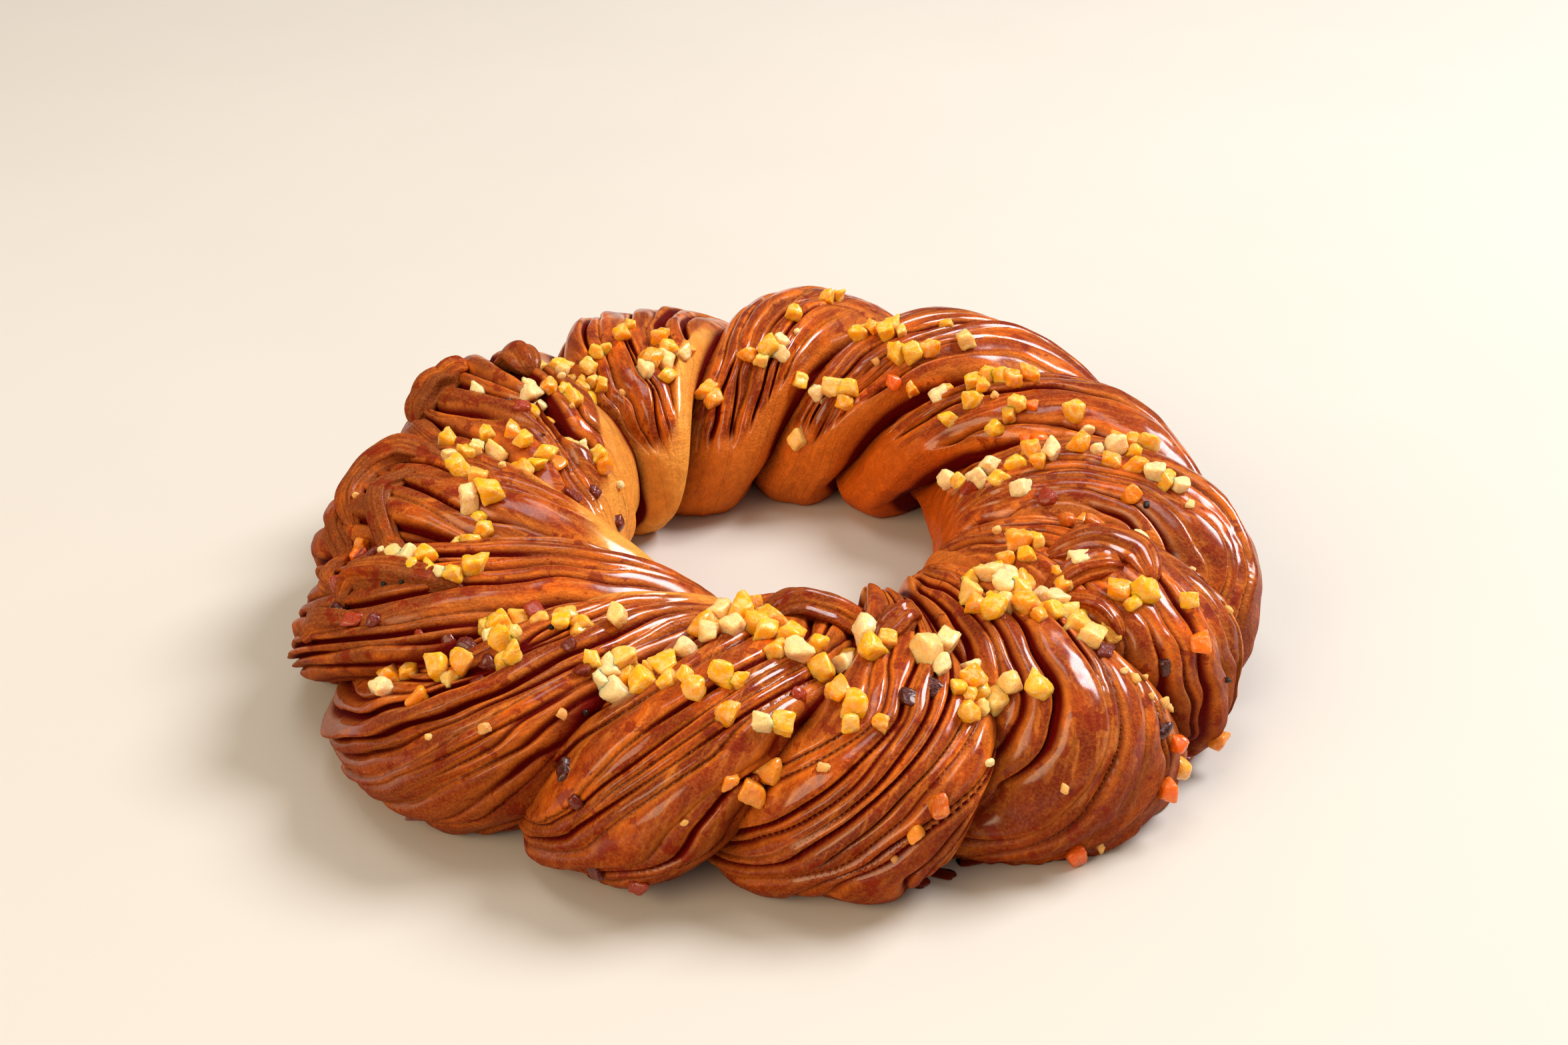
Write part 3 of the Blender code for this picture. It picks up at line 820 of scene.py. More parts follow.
class Chunks:
    """Makes uneven small things and gathers each kind in one mesh."""

    # How far a chunk leans, how far its faces turn, and how far out its faces and its chips lie as
    # shares of its half width.
    LEAN = 0.5
    SKEW = 0.26
    FACE_REACH = (0.74, 1.16)
    CHIP_REACH = (0.86, 1.12)

    def __init__(self, cells: int) -> None:
        """Works out directions all round and the faces between them, as a grid over a cube.

        Args:
            cells: how many cells the grid has along each edge of the cube.
        """
        span = np.linspace(-1, 1, cells + 1)
        keys: dict[tuple[int, ...], int] = {}
        self.faces: list[tuple[int, ...]] = []
        for axis in range(3):
            for end in (0, cells):
                for i in range(cells):
                    for j in range(cells):
                        quad = []
                        for p, q in ((i, j), (i + 1, j), (i + 1, j + 1), (i, j + 1)):
                            key = [p, q]
                            key.insert(axis, end)
                            quad.append(keys.setdefault(tuple(key), len(keys)))
                        self.faces.append(tuple(quad if (end == cells) == (axis != 1) else quad[::-1]))
        cube = np.array([[span[c] for c in key] for key in keys])
        self.directions = cube / np.linalg.norm(cube, axis=1, keepdims=True)
        self.points: list[Array] = []
        self.tints: list[Array] = []

    def add(self, cut: Cut, rng: random.Random, size: float, foot: Vector, up: Vector) -> None:
        """Adds a chunk between leaning faces, with chipped corners, sunk into what it lies on.

        Args:
            cut: how it is shaped.
            rng: where its random values come from.
            size: its width.
            foot: where it lies.
            up: the direction out of what it lies on.
        """
        side = up.orthogonal().normalized()
        turn = rng.uniform(0, math.tau)
        along = (side * math.cos(turn) + up.cross(side) * math.sin(turn)).normalized()
        lean = (up + along * rng.uniform(-self.LEAN, self.LEAN) * cut.flat).normalized()
        across = lean.cross(along).normalized()
        along = across.cross(lean).normalized()
        normals, reaches = [], []
        for axis in range(3):
            for way in (-1, 1):
                normals.append([way * (k == axis) + rng.uniform(-self.SKEW, self.SKEW)
                                for k in range(3)])
                reaches.append(rng.uniform(*self.FACE_REACH))
        for _ in range(rng.randint(2, 4)):
            normals.append([rng.choice((-1, 1)) * rng.uniform(0.35, 1) for _ in range(3)])
            reaches.append(rng.uniform(*self.CHIP_REACH))
        normals = np.array(normals) / np.linalg.norm(normals, axis=1, keepdims=True)
        towards = np.clip(self.directions @ normals.T / np.array(reaches), 0, None)
        radius = (towards ** cut.crispness).sum(axis=1) ** (-1 / cut.crispness) * size / 2
        shift = rng.uniform(0, 50)
        x, y, z = self.directions.T
        radius = radius * (1 + cut.rough * drift(x * 2.6 + shift, y * 2.6 + z * 3.1, 51))
        body = self.directions * radius[:, None] * np.array([cut.long, 1.0, cut.flat])
        centre = np.array(foot + up * size * cut.flat * (0.5 - cut.sink))
        self.points.append(centre + body @ np.array([along, across, lean]))
        self.tints.append(np.full(len(body), rng.random()))

    def gather(self, name: str, material: Material) -> None:
        """Makes one piece of everything added and hands it over.

        Args:
            name: the piece's name.
            material: what it wears.
        """
        count = len(self.directions)
        faces = [tuple(count * number + corner for corner in quad)
                 for number in range(len(self.points)) for quad in self.faces]
        piece = Workshop.mesh(name, above_table(np.concatenate(self.points)), faces)
        Workshop.store(piece, tint=np.concatenate(self.tints))
        Workshop.hand_over(piece, material)


@dataclass
class CandiedPeel:
    """Diced candied peel, scattered over the crest in clusters."""

    cut: Cut = Cut((3.7 * MM, 6.3 * MM), rough=0.11)
    # How far apart dice lie, as a share of their mean width, and how often each one tries.
    gap: float = 0.80
    tries: int = 40
    # How far dice lie from their cluster's middle in millimetres: to begin with, more by the square
    # root of how many there are, and more with each try.
    spread: Triple = (1.0, 2.0, 0.10)
    # How much a die stands out of the section, and straight up, next to square on the dough.
    outward: float = 1.5
    upright: float = 0.6
    cells: int = 6
    # Azimuth and tube angle of each cluster's middle, and how many dice lie there.
    clusters: tuple[tuple[int, int, int], ...] = (
        # front left, from the outside in
        (223, 25, 3), (231, 46, 4), (238, 55, 2), (231, 67, 3), (236, 65, 3), (241, 80, 2),
        (248, 86, 1), (250, 68, 3), (254, 64, 4), (252, 58, 2), (257, 62, 1),
        # front
        (260, 79, 2), (261, 59, 2), (264, 61, 2), (263, 86, 3), (267, 88, 5), (271, 80, 3),
        (267, 48, 2), (270, 46, 1), (277, 80, 1), (279, 77, 2), (282, 78, 3), (278, 70, 1),
        (279, 55, 2), (279, 43, 2),
        # front right
        (291, 66, 2), (292, 57, 4), (293, 51, 2), (292, 45, 2), (295, 46, 3), (300, 81, 4),
        (303, 86, 3), (305, 79, 3), (303, 72, 2), (307, 74, 3), (309, 68, 4), (316, 78, 3),
        (310, 56, 2), (310, 98, 1), (315, 96, 3), (318, 92, 1), (309, 89, 2), (319, 59, 3),
        (324, 43, 1), (329, 74, 1),
        # right and back right
        (14, 159, 1), (5, 150, 1), (351, 132, 3), (342, 121, 1), (354, 116, 2), (352, 108, 2),
        (356, 92, 3), (353, 84, 3), (7, 77, 3), (0, 75, 3), (350, 72, 2), (349, 66, 2),
        (14, 89, 2), (21, 110, 2), (32, 135, 1), (21, 122, 1), (34, 101, 2), (30, 97, 2),
        (50, 126, 1), (44, 123, 2), (37, 114, 1), (32, 118, 3), (54, 110, 2), (57, 117, 1),
        (49, 92, 1),
        # back
        (68, 102, 3), (62, 101, 3), (55, 85, 1), (78, 80, 2), (84, 101, 1), (93, 126, 3),
        (89, 120, 2), (74, 140, 2), (69, 142, 2), (83, 137, 1), (108, 142, 2), (79, 168, 1),
        (117, 90, 1), (124, 102, 1), (129, 104, 2), (116, 108, 2), (112, 114, 2), (121, 123, 4),
        # left
        (140, 100, 1), (136, 106, 2), (138, 117, 4), (146, 103, 3), (159, 93, 1), (162, 106, 2),
        (159, 112, 3), (155, 118, 2), (166, 118, 2), (174, 95, 2), (175, 104, 2), (177, 112, 3),
        (183, 102, 2), (188, 95, 2), (186, 118, 1), (182, 124, 2), (170, 140, 3), (201, 106, 1),
        (202, 97, 2), (206, 96, 3), (213, 77, 1), (213, 70, 2), (211, 63, 1), (218, 75, 2),
        (221, 80, 2),
    )

    def places(self) -> list[tuple[float, float, float, int]]:
        """Scatters the dice round their clusters.

        Returns:
            Every die as azimuth, tube angle, size and seed.
        """
        rng = random.Random(41)
        plain = Section(centre=(0.0, 0.0))
        least, wider, further = self.spread
        placed: list[tuple[Vector, tuple[float, float, float, int]]] = []
        for azimuth, tube, count in self.clusters:
            for _ in range(count):
                size = rng.uniform(*self.cut.sizes)
                for attempt in range(self.tries):
                    reach = (least + wider * math.sqrt(count) + further * attempt) * MM
                    reach *= math.sqrt(rng.random())
                    angle = rng.uniform(0, math.tau)
                    a = azimuth + math.degrees(reach * math.cos(angle) / plain.ring_radius)
                    t = tube + math.degrees(reach * math.sin(angle) / plain.usual_half_width)
                    place = plain.plain_point(a, t, 1.0)
                    if all((place - p).length > self.gap * (size + other[2]) / 2
                           for p, other in placed):
                        break
                placed.append((place, (a, t, size, len(placed))))
        return [entry for _, entry in placed]

    def build(self, ground: Ground, material: Material) -> None:
        """Drops every die on the dough and dresses them.

        Args:
            ground: the dough's surface.
            material: what the dice wear.
        """
        chunks = Chunks(self.cells)
        for azimuth, tube, size, seed in self.places():
            found = ground.below(azimuth, tube)
            if found:
                hit, normal, outward = found
                up = (normal + outward * self.outward + Vector((0, 0, self.upright))).normalized()
                chunks.add(self.cut, random.Random(seed), size, hit, up)
        chunks.gather("peel_dice", material)


@dataclass(frozen=True)
class Fruit:
    """A kind of thing from the filling, how finely it is made, and the azimuth and tube angle of
    each that shows."""

    name: str
    cells: int
    cut: Cut
    places: tuple[tuple[int, int], ...]


RAISINS = Fruit("raisins", 7, Cut((3.0 * MM, 5.0 * MM), long=1.3, flat=0.8, crispness=5, rough=0.15,
                                  sink=0.50), (
    (166, 110), (171, 125), (194, 133), (183, 169), (189, 106), (204, 58), (223, 48), (226, 51),
    (211, 33), (215, 37), (218, 43), (229, 54), (244, 68), (236, 51), (247, 60), (234, 83), (319, -14),
    (311, 13), (309, 47), (333, 105), (317, 28), (273, 58), (257, -14), (253, -10), (251, 11),
    (288, 54), (285, 51), (232, -14), (236, 42), (249, 20), (186, 150), (191, 141), (200, 50),
    (199, 60), (207, 40), (163, 104), (341, 108), (350, 140)))
GEL = Fruit("fruit_gel", 7, Cut((3.6 * MM, 5.8 * MM), long=1.2, crispness=6, rough=0.10, sink=0.40), (
    (194, 102), (232, 79), (237, 77), (240, 82), (243, 78), (314, 51), (331, 87), (328, 92), (266, 26),
    (270, 26), (268, 20), (324, -12), (315, -6), (285, 16), (180, 132), (197, 104), (209, 50),
    (322, 84), (338, 96), (305, 92)))
ORANGE = Fruit("candied_orange", 7, Cut((3.6 * MM, 5.6 * MM), crispness=9, rough=0.08, sink=0.38), (
    (173, 148), (195, 48), (198, 44), (311, -6), (313, 6), (322, 30), (301, -20), (283, 7), (231, 27),
    (10, 111), (14, 115), (338, 99), (344, 81), (55, 128), (20, 104)))
CRUMBS = Fruit("crumbs", 3, Cut((1.5 * MM, 2.9 * MM), crispness=7, rough=0.16, sink=0.30), (
    (168, 160), (311, 26), (313, 20), (304, -20), (281, 0), (247, 41), (321, 111), (313, 30), (312, 24),
    (310, 34), (314, 16), (309, 38), (235, 20), (241, 30), (262, 12), (275, 30), (298, 10), (291, 24),
    (222, 20), (214, 58), (205, 62), (190, 60), (176, 74), (330, 30), (337, 42), (345, 60), (0, 96),
    (28, 112), (62, 120), (84, 110), (118, 118), (133, 128), (150, 112), (160, 124), (187, 112)))
SEEDS = Fruit("seeds", 3, Cut((1.3 * MM, 1.9 * MM), long=1.3, crispness=4, rough=0.03, sink=0.30), (
    (233, 76), (216, 61), (211, 53), (209, 46), (324, 11), (314, 80), (343, 75), (249, 43), (214, 56),
    (240, 74), (327, 88), (10, 106)))
SYRUP = Cut((3.5 * MM, 5.5 * MM), long=1.5, flat=0.26, crispness=4, rough=0.14, sink=0.42)


@dataclass
class Filling:
    """What has come out of the filling, and the syrup that has run off the kringle."""

    kinds: tuple[Fruit, ...] = (RAISINS, GEL, ORANGE, CRUMBS, SEEDS)
    # Azimuth of each puddle and its distance past the ring circle, in millimetres.
    puddles: tuple[Pair, ...] = ((285, 39), (288, 40), (292, 37), (295, 36), (256, 39))
    puddle_cells: int = 9

    def build(self, ground: Ground, materials: dict[str, Material]) -> None:
        """Drops every kind on the dough and lays the puddles at its foot.

        Args:
            ground: the dough's surface.
            materials: the material of each kind and of the syrup, by name.
        """
        for fruit in self.kinds:
            chunks = Chunks(fruit.cells)
            for seed, (azimuth, tube) in enumerate(fruit.places):
                found = ground.below(azimuth, tube)
                if found:
                    rng = random.Random(f"{fruit.name}{seed}")
                    hit, normal, outward = found
                    chunks.add(fruit.cut, rng, rng.uniform(*fruit.cut.sizes), hit,
                               (normal + outward).normalized())
            chunks.gather(fruit.name, materials[fruit.name])
        chunks = Chunks(self.puddle_cells)
        for seed, (azimuth, past) in enumerate(self.puddles):
            rng = random.Random(seed)
            distance = ground.section.ring_radius + past * MM
            turn = math.radians(azimuth)
            x, y = ground.section.centre
            foot = Vector((x + distance * math.cos(turn), y + distance * math.sin(turn), 0.0))
            chunks.add(SYRUP, rng, rng.uniform(*SYRUP.sizes), foot, Vector((0, 0, 1)))
        chunks.gather("syrup", materials["syrup"])


class Graph:
    """A node tree that is filled one node at a time."""

    def __init__(self, tree: Tree) -> None:
        """Starts on a tree."""
        self.tree = tree

    def fill(self, made: Node, inputs: dict) -> None:
        """Gives a node its inputs.

        Args:
            made: the node.
            inputs: sockets or plain values, by input name or number.
        """
        for key, value in inputs.items():
            if isinstance(value, Socket):
                self.tree.links.new(value, made.inputs[key])
            else:
                made.inputs[key].default_value = value

    def node(self, kind: str, inputs: dict | None = None, **settings: object) -> Node:
        """Adds a node.

        Args:
            kind: the node's type, without its ShaderNode prefix.
            inputs: what fill gives it.
            settings: the node's own properties.

        Returns:
            The node.
        """
        made = self.tree.nodes.new("ShaderNode" + kind)
        for key, value in settings.items():
            setattr(made, key, value)
        self.fill(made, inputs or {})
        return made

    def blend(self, share: object, low: object, high: object) -> Socket:
        """A colour between two, as a socket."""
        pair = [(*c, 1) if isinstance(c, tuple) else c for c in (low, high)]
        return self.node("Mix", {0: share, 6: pair[0], 7: pair[1]}, data_type="RGBA").outputs[2]

    def lay(self, colour: object, tone: object, where: object, amount: float) -> Socket:
        """A colour with another laid over it: where, and how much of it there."""
        return self.blend(self.maths("MULTIPLY", where, amount), colour, tone)

    def maths(self, how: str, *values: object, clamp: bool = True) -> Socket:
        """The result of a sum, kept between 0 and 1 unless clamp is off."""
        return self.node("Math", dict(enumerate(values)), operation=how, use_clamp=clamp).outputs[0]

    def step(self, value: object, low: object, high: object) -> Socket:
        """A smooth step of a value, from 0 at low to 1 at high."""
        return self.node("MapRange", {0: value, 1: low, 2: high},
                         interpolation_type="SMOOTHSTEP").outputs[0]

    def between(self, share: object, low: float, high: float) -> Socket:
        """The value that share of the way from low to high."""
        return self.node("MapRange", {0: share, 3: low, 4: high}).outputs[0]

    def attribute(self, name: str) -> Socket:
        """The number that a piece stores under a name."""
        return self.node("Attribute", attribute_name=name).outputs["Fac"]

    def group(self, tree: Tree, *inputs: object) -> Socket:
        """What a node group gives for its inputs, which are in its own order."""
        return self.node("Group", dict(enumerate(inputs)), node_tree=tree).outputs[0]

    def noise(self, place: object, scale: object, detail: float, rough: float) -> Socket:
        """Noise at a place, from about 0 to about 1."""
        return self.node("TexNoise", {"Vector": place, "Scale": scale, "Detail": detail,
                                      "Roughness": rough}).outputs[0]

    def patches(self, size: object, detail: float, rough: float) -> Socket:
        """Noise over the whole piece, in patches of a size in metres."""
        scale = self.maths("DIVIDE", 1.0, size, clamp=False)
        return self.noise(self.node("TexCoord").outputs["Object"], scale, detail, rough)


class Effects:
    """Effects that several finishes share, each a node group."""

    def __init__(self) -> None:
        """Builds every group once."""
        self.streaks = self._streaks()
        self.mottle = self._mottle()
        self.grain = self._grain()

    @staticmethod
    def _new(name: str, *labels: tuple[str, str]) -> tuple[Graph, list, Node]:
        """An empty group.

        Args:
            name: its name.
            labels: the label and the kind of each input, and of its one output last.

        Returns:
            Its graph, its inputs as sockets, and its output node.
        """
        tree = bpy.data.node_groups.new(name, "ShaderNodeTree")
        for number, (label, kind) in enumerate(labels, 1):
            way = "OUTPUT" if number == len(labels) else "INPUT"
            tree.interface.new_socket(name=label, in_out=way, socket_type="NodeSocket" + kind)
        given = tree.nodes.new("NodeGroupInput").outputs
        return Graph(tree), list(given)[:len(labels) - 1], tree.nodes.new("NodeGroupOutput")

    def _streaks(self) -> Tree:
        """Long streaks that run with the leaves.

        Returns:
            The group.
        """
        graph, (strand, fineness, length), end = self._new(
            "leaf_streaks", ("Strand", "Vector"), ("Fineness", "Float"), ("Length", "Float"),
            ("Streak", "Float"))
        across, along, lane = graph.node("SeparateXYZ", {0: strand}).outputs
        wide = graph.maths("MULTIPLY", across, fineness, clamp=False)
        long = graph.maths("DIVIDE", along, length, clamp=False)
        place = graph.node("CombineXYZ", {0: wide, 1: long, 2: lane}).outputs[0]
        graph.fill(end, {0: graph.noise(place, 1.0, 5.0, 0.6)})
        return graph.tree

    def _mottle(self) -> Tree:
        """Uneven browning in soft patches.

        Returns:
            The group.
        """
        graph, (size, low, high), end = self._new(
            "oven_mottle", ("Patch Size", "Float"), ("Low", "Float"), ("High", "Float"),
            ("Mottle", "Float"))
        graph.fill(end, {0: graph.step(graph.patches(size, 4.0, 0.62), low, high)})
        return graph.tree

    def _grain(self) -> Tree:
        """The fine relief of a baked or sugared surface, as a normal.

        Returns:
            The group.
        """
        graph, (height, size, depth), end = self._new(
            "fine_relief", ("Height", "Float"), ("Grain Size", "Float"), ("Depth", "Float"),
            ("Normal", "Vector"))
        both = graph.maths("ADD", graph.patches(size, 3.0, 0.6), height, clamp=False)
        bump = graph.node("Bump", {"Height": both, "Distance": depth, "Strength": 1.0})
        graph.fill(end, {0: bump.outputs[0]})
        return graph.tree


def new_material(name: str) -> tuple[Material, Graph, Node]:
    """Starts a material.

    Args:
        name: the material's name.

    Returns:
        The material, its graph and its shader.
    """
    material = bpy.data.materials.new(name)
    material.use_nodes = True
    return material, Graph(material.node_tree), material.node_tree.nodes["Principled BSDF"]


@dataclass(frozen=True)
class DoughFinish:
    """Baked, glazed dough: brown crests, orange cut sides, cuts dark with syrup and painted shade, and
    tan crust.
    """

    crest: Colour = (0.350, 0.036, 0.001)
    side: Colour = (0.870, 0.142, 0.001)
    burnt: Colour = (0.160, 0.010, 0.001)
    # Painted shade in the cuts and at the seams between lobes, in the dark red of the syrup that lies
    # there.
    cut_shade_and_syrup: Colour = (0.120, 0.0012, 0.0001)
    tan: Colour = (1.000, 0.430, 0.070)
    brown_crust: Colour = (0.560, 0.080, 0.002)
    dry: Colour = (0.210, 0.052, 0.015)
    pale: Colour = (0.960, 0.300, 0.035)
    syrup: Colour = (0.230, 0.010, 0.0005)
    # Streaks along the leaves: how many to a millimetre across, and how many millimetres long.
    broad: Pair = (0.13, 24.0)
    fine: Pair = (0.55, 13.0)
    # Mottling: the size of its patches in metres, and the noise from which and by which it shows.
    patches: Triple = (0.016, 0.36, 0.64)
    dapple: Triple = (0.0026, 0.34, 0.68)
    pores: Triple = (0.0008, 0.35, 0.62)
    drops: Triple = (0.0065, 0.56, 0.62)
    # The size and depth of its grain in metres.
    grain: Pair = (0.0014, 0.00042)

    def build(self, effects: Effects) -> Material:
        """Makes the material from what each point of the dough stores.

        Args:
            effects: the shared node groups.

        Returns:
            The material.
        """
        material, graph, shader = new_material("glazed_dough")
        crest, crust, leaf, scorch, bake = (
            graph.attribute(name) for name in ("crest", "crust", "leaf", "scorch", "bake"))
        strand = graph.node("Attribute", attribute_name="strand").outputs["Vector"]
        along = graph.node("SeparateXYZ", {0: strand}).outputs[1]
        broad, fine = (graph.group(effects.streaks, strand, *sizes) for sizes in (self.broad, self.fine))
        patches, dapple, pores, drops = (
            graph.group(effects.mottle, *sizes)
            for sizes in (self.patches, self.dapple, self.pores, self.drops))
        brown = graph.maths("MULTIPLY", leaf, 0.34)
        for what, amount in ((patches, 0.36), (graph.step(broad, 0.36, 0.62), 0.46),
                             (graph.step(crest, 0.55, 0.98), 0.34)):
            brown = graph.maths("MULTIPLY_ADD", what, amount, brown, clamp=False)
        smooth_crust = graph.lay(graph.blend(bake, self.tan, self.brown_crust), self.side, patches, 0.22)
        scorched = graph.maths("MULTIPLY", scorch, graph.maths("ADD", patches, 0.25))
        wet = graph.maths("MULTIPLY", drops, graph.maths("SUBTRACT", 1.0, crust))
        colour = graph.blend(graph.step(brown, 0.30, 0.92), self.side, self.crest)
        for where, amount, tone in (
                # brown places, light and dark streaks, light edges of leaves, and the dark foot
                (graph.step(brown, 0.80, 1.30), 0.85, self.burnt),
                (graph.step(fine, 0.50, 0.70), 0.50, self.pale),
                (graph.step(fine, 0.48, 0.30), 0.60, self.burnt),
                (graph.step(crest, 0.96, 0.74), 0.36, self.pale),
                (graph.step(along, 26.0, -8.0), 0.60, self.burnt),
                # crust and all that lies over it too
                (crust, 1.0, smooth_crust), (scorched, 1.0, self.dry), (dapple, 0.26, self.burnt),
                (pores, 0.12, self.pale), (wet, 0.70, self.syrup)):
            colour = graph.lay(colour, tone, where, amount)
        # Painted shade: where the crest is low (the cuts, the seams between lobes, the grooves of the
        # rolls and the hidden core) the colour goes to the dark syrup red of the shade.
        colour = graph.blend(graph.step(crest, 0.12, 0.80), self.cut_shade_and_syrup, colour)
        rough = graph.maths("MULTIPLY_ADD", scorch, 0.30, graph.between(patches, 0.36, 0.5))
        # The glaze lies on what faces up, and not in the cuts or where the dough is scorched.
        up = graph.node("SeparateXYZ", {0: graph.node("NewGeometry").outputs["Normal"]}).outputs[2]
        coat = graph.maths("SUBTRACT", graph.maths("MULTIPLY_ADD", wet, 0.2, 0.85),
                           graph.maths("MULTIPLY", scorch, 0.9))
        for where in (graph.step(up, 0.0, 0.55), graph.step(crest, 0.2, 0.7)):
            coat = graph.maths("MULTIPLY", coat, where)
        height = graph.maths("MULTIPLY_ADD", fine, 0.7, graph.maths("MULTIPLY", pores, 0.35))
        graph.fill(shader, {"Base Color": colour, "Roughness": rough, "Coat Weight": coat,
                            "Normal": graph.group(effects.grain, height, *self.grain),
                            "Coat Roughness": 0.16, "Specular IOR Level": 0.05})
        return material


@dataclass(frozen=True)
class SweetFinish:
    """Something sugared or candied: three colours from piece to piece, and a cloudy skin."""

    name: str
    dark: Colour
    usual: Colour
    light: Colour
    clear: float = 0.5
    cloudy: float = 0.3
    roughness: Pair = (0.2, 0.42)
    coat: float = 0.0
    clouds: Triple = (0.0019, 0.42, 0.66)
    grain: Pair = (0.0008, 0.0002)

    def build(self, effects: Effects) -> Material:
        """Makes the material.

        Args:
            effects: the shared node groups.

        Returns:
            The material.
        """
        material, graph, shader = new_material(self.name)
        tint = graph.attribute("tint")
        cloud = graph.group(effects.mottle, *self.clouds)
        colour = graph.blend(graph.step(tint, 0.1, 0.4), self.dark, self.usual)
        colour = graph.blend(graph.step(tint, 0.58, 0.92), colour, self.light)
        graph.fill(shader, {"Base Color": graph.lay(colour, self.light, cloud, self.cloudy),
                            "Roughness": graph.between(cloud, *self.roughness),
                            "Normal": graph.group(effects.grain, cloud, *self.grain),
                            "Specular IOR Level": 0.35, "Coat Weight": self.coat,
                            "Coat Roughness": 0.12, "Subsurface Weight": self.clear,
                            "Subsurface Radius": (1.0, 0.55, 0.15), "Subsurface Scale": 0.0025})
        return material


PEEL = SweetFinish("candied_peel", (1.0, 0.33, 0.0004), (1.0, 0.46, 0.008), (1.0, 0.67, 0.33),
                   clear=0.9, cloudy=0.42, roughness=(0.16, 0.5), coat=0.35)
FILLING_FINISHES = {
    "raisins": SweetFinish("raisin_skin", (0.05, 0.005, 0.002), (0.14, 0.010, 0.002),
                           (0.36, 0.030, 0.002), clear=0.2, cloudy=0.2, roughness=(0.25, 0.5), coat=0.5),
    "fruit_gel": SweetFinish("amber_fruit", (0.55, 0.10, 0.002), (0.85, 0.24, 0.005), (0.95, 0.45, 0.06),
                             clear=0.8, coat=0.6),
    "candied_orange": SweetFinish("candied_orange", (0.80, 0.10, 0.001), (0.95, 0.17, 0.001),
                                  (1.0, 0.30, 0.01), clear=0.7, coat=0.5),
    "crumbs": SweetFinish("sugar_crumbs", (0.60, 0.20, 0.04), (0.85, 0.42, 0.10), (0.95, 0.68, 0.32),
                          clear=0.3, roughness=(0.5, 0.7)),
    "seeds": SweetFinish("dark_seeds", (0.008, 0.005, 0.005), (0.012, 0.008, 0.007), (0.03, 0.02, 0.015),
                         clear=0.0, cloudy=0.1, roughness=(0.3, 0.5)),
    "syrup": SweetFinish("run_syrup", (0.06, 0.004, 0.001), (0.10, 0.008, 0.001), (0.16, 0.014, 0.002),
                         clear=0.1, cloudy=0.1, roughness=(0.15, 0.3), coat=0.9),
}


@dataclass(frozen=True)
class TableFinish:
    """The pale table top."""

    near: Colour = (0.60, 0.55, 0.49)
    far: Colour = (0.62, 0.57, 0.51)
    clouds: Triple = (0.4, 0.3, 0.7)

    def build(self, effects: Effects) -> Material:
        """Makes the material.

        Args:
            effects: the shared node groups.

        Returns:
            The material.
        """
        material, graph, shader = new_material("pale_table")
        cloud = graph.group(effects.mottle, *self.clouds)
        graph.fill(shader, {"Base Color": graph.blend(cloud, self.near, self.far), "Roughness": 0.7})
        return material


class Lamp(Enum):
    """The lamps: place, where it points, size, watts and colour."""

    WINDOW = ((1.40, 0.50, 1.72), (0.0, 0.0, 0.02), 1.0, 60.0, (0.95, 0.96, 1.0))
    FILL = ((-1.5, -1.5, 1.3), (0.0, 0.0, 0.02), 1.6, 33.0, (1.0, 0.80, 0.50))
    TOP = ((-0.2, 0.1, 2.2), (0.0, 0.0, 0.0), 1.0, 10.0, (1.0, 0.98, 0.95))


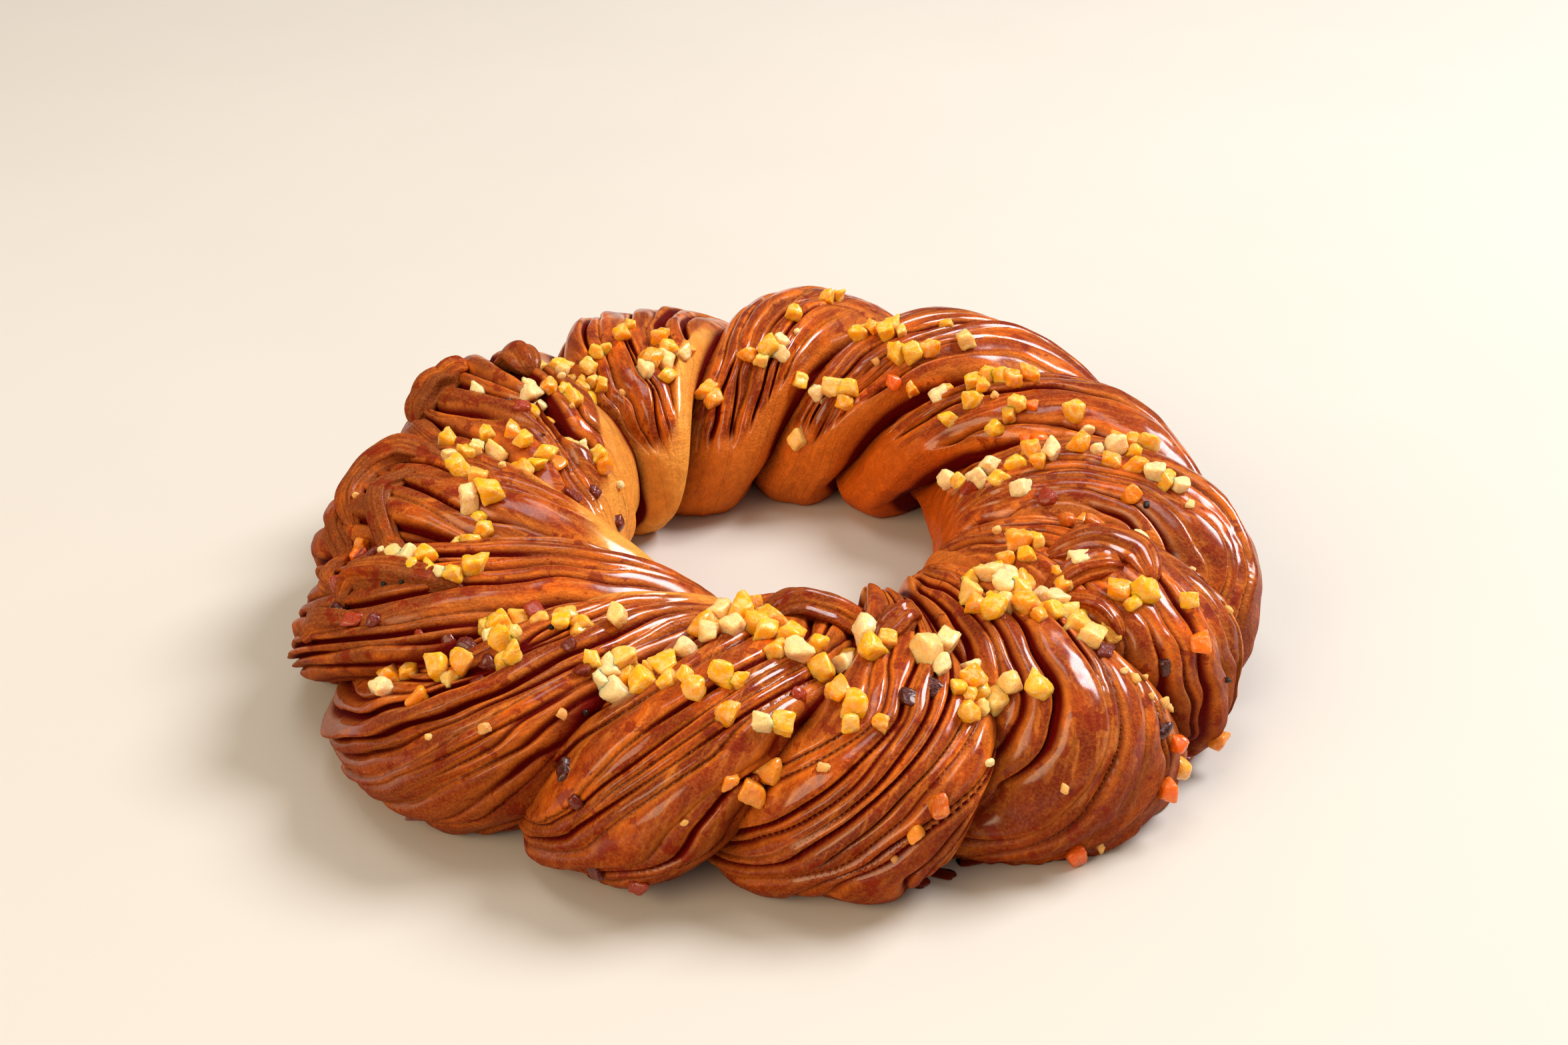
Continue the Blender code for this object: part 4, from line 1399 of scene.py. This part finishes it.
@dataclass
class Studio:
    """The table, the light round it and the camera."""

    lens: float = 45.7
    distance: float = 0.616
    elevation: float = 31.63
    tilt: float = 60.66
    roll: float = -0.42
    sensor: float = 36.0
    nearest: float = 0.01
    ring_centre: Pair = RING_CENTRE
    surround: Colour = (1.0, 0.94, 0.84)
    surround_strength: float = 0.45
    mirrored_strength: float = 0.10
    table_half: float = 4.0
    table_drop: float = 0.0002

    def table(self, material: Material) -> None:
        """A wide pale table top under the kringle.

        Args:
            material: what it wears.
        """
        half = self.table_half
        corners = ((-half, -half), (half, -half), (half, half), (-half, half))
        points = np.array([(x, y, -self.table_drop) for x, y in corners])
        floor = Workshop.mesh("table", points, [(0, 1, 2, 3)])
        if floor.data.polygons[0].normal.z < 0:
            floor.data.flip_normals()
        floor.data.materials.append(material)
    def lamps(self) -> None:
        """Hangs the lamps and sets the light of the room."""
        for lamp in Lamp:
            place, target, size, watts, colour = lamp.value
            data = bpy.data.lights.new(lamp.name.lower(), "AREA")
            data.shape = "DISK"
            data.size = size
            data.energy = watts
            data.color = colour
            made = bpy.data.objects.new(lamp.name.lower(), data)
            bpy.context.scene.collection.objects.link(made)
            made.location = place
            made.rotation_euler = (Vector(target) - Vector(place)).to_track_quat("-Z", "Y").to_euler()
        world = bpy.data.worlds.new("room")
        world.use_nodes = True
        graph = Graph(world.node_tree)
        background = world.node_tree.nodes["Background"]
        mirrored = graph.node("LightPath").outputs["Is Glossy Ray"]
        strength = graph.between(mirrored, self.surround_strength, self.mirrored_strength)
        graph.fill(background, {0: (*self.surround, 1), 1: strength})
        bpy.context.scene.world = world
        bpy.context.scene.view_settings.view_transform = "Standard"

    def camera(self) -> None:
        """The camera, which looks at the kringle from the front and above."""
        data = bpy.data.cameras.new("camera")
        data.lens = self.lens
        data.sensor_width = self.sensor
        data.clip_start = self.nearest
        made = bpy.data.objects.new("camera", data)
        bpy.context.scene.collection.objects.link(made)
        rise = math.radians(self.elevation)
        made.location = (self.ring_centre[0], self.ring_centre[1] - self.distance * math.cos(rise),
                         self.distance * math.sin(rise))
        made.rotation_euler = (math.radians(self.tilt), 0.0, math.radians(self.roll))
        bpy.context.scene.camera = made

    def build(self, material: Material) -> None:
        """Sets up the table, the lamps and the camera.

        Args:
            material: what the table wears.
        """
        self.table(material)
        self.lamps()
        self.camera()


def main() -> None:
    """Builds the kringle and its studio, in order."""
    logging.basicConfig(level=logging.INFO, format="%(name)s %(message)s")
    effects = Effects()
    studio = Studio()
    studio.build(TableFinish().build(effects))
    dough = DoughFinish().build(effects)
    twist = Twist()
    twist.build(dough)
    ground = Ground.of(twist)
    CurledEnds(ground).build(dough)
    CandiedPeel().build(ground, PEEL.build(effects))
    Filling().build(ground, {name: finish.build(effects) for name, finish in FILLING_FINISHES.items()})


if __name__ == "__main__":
    main()
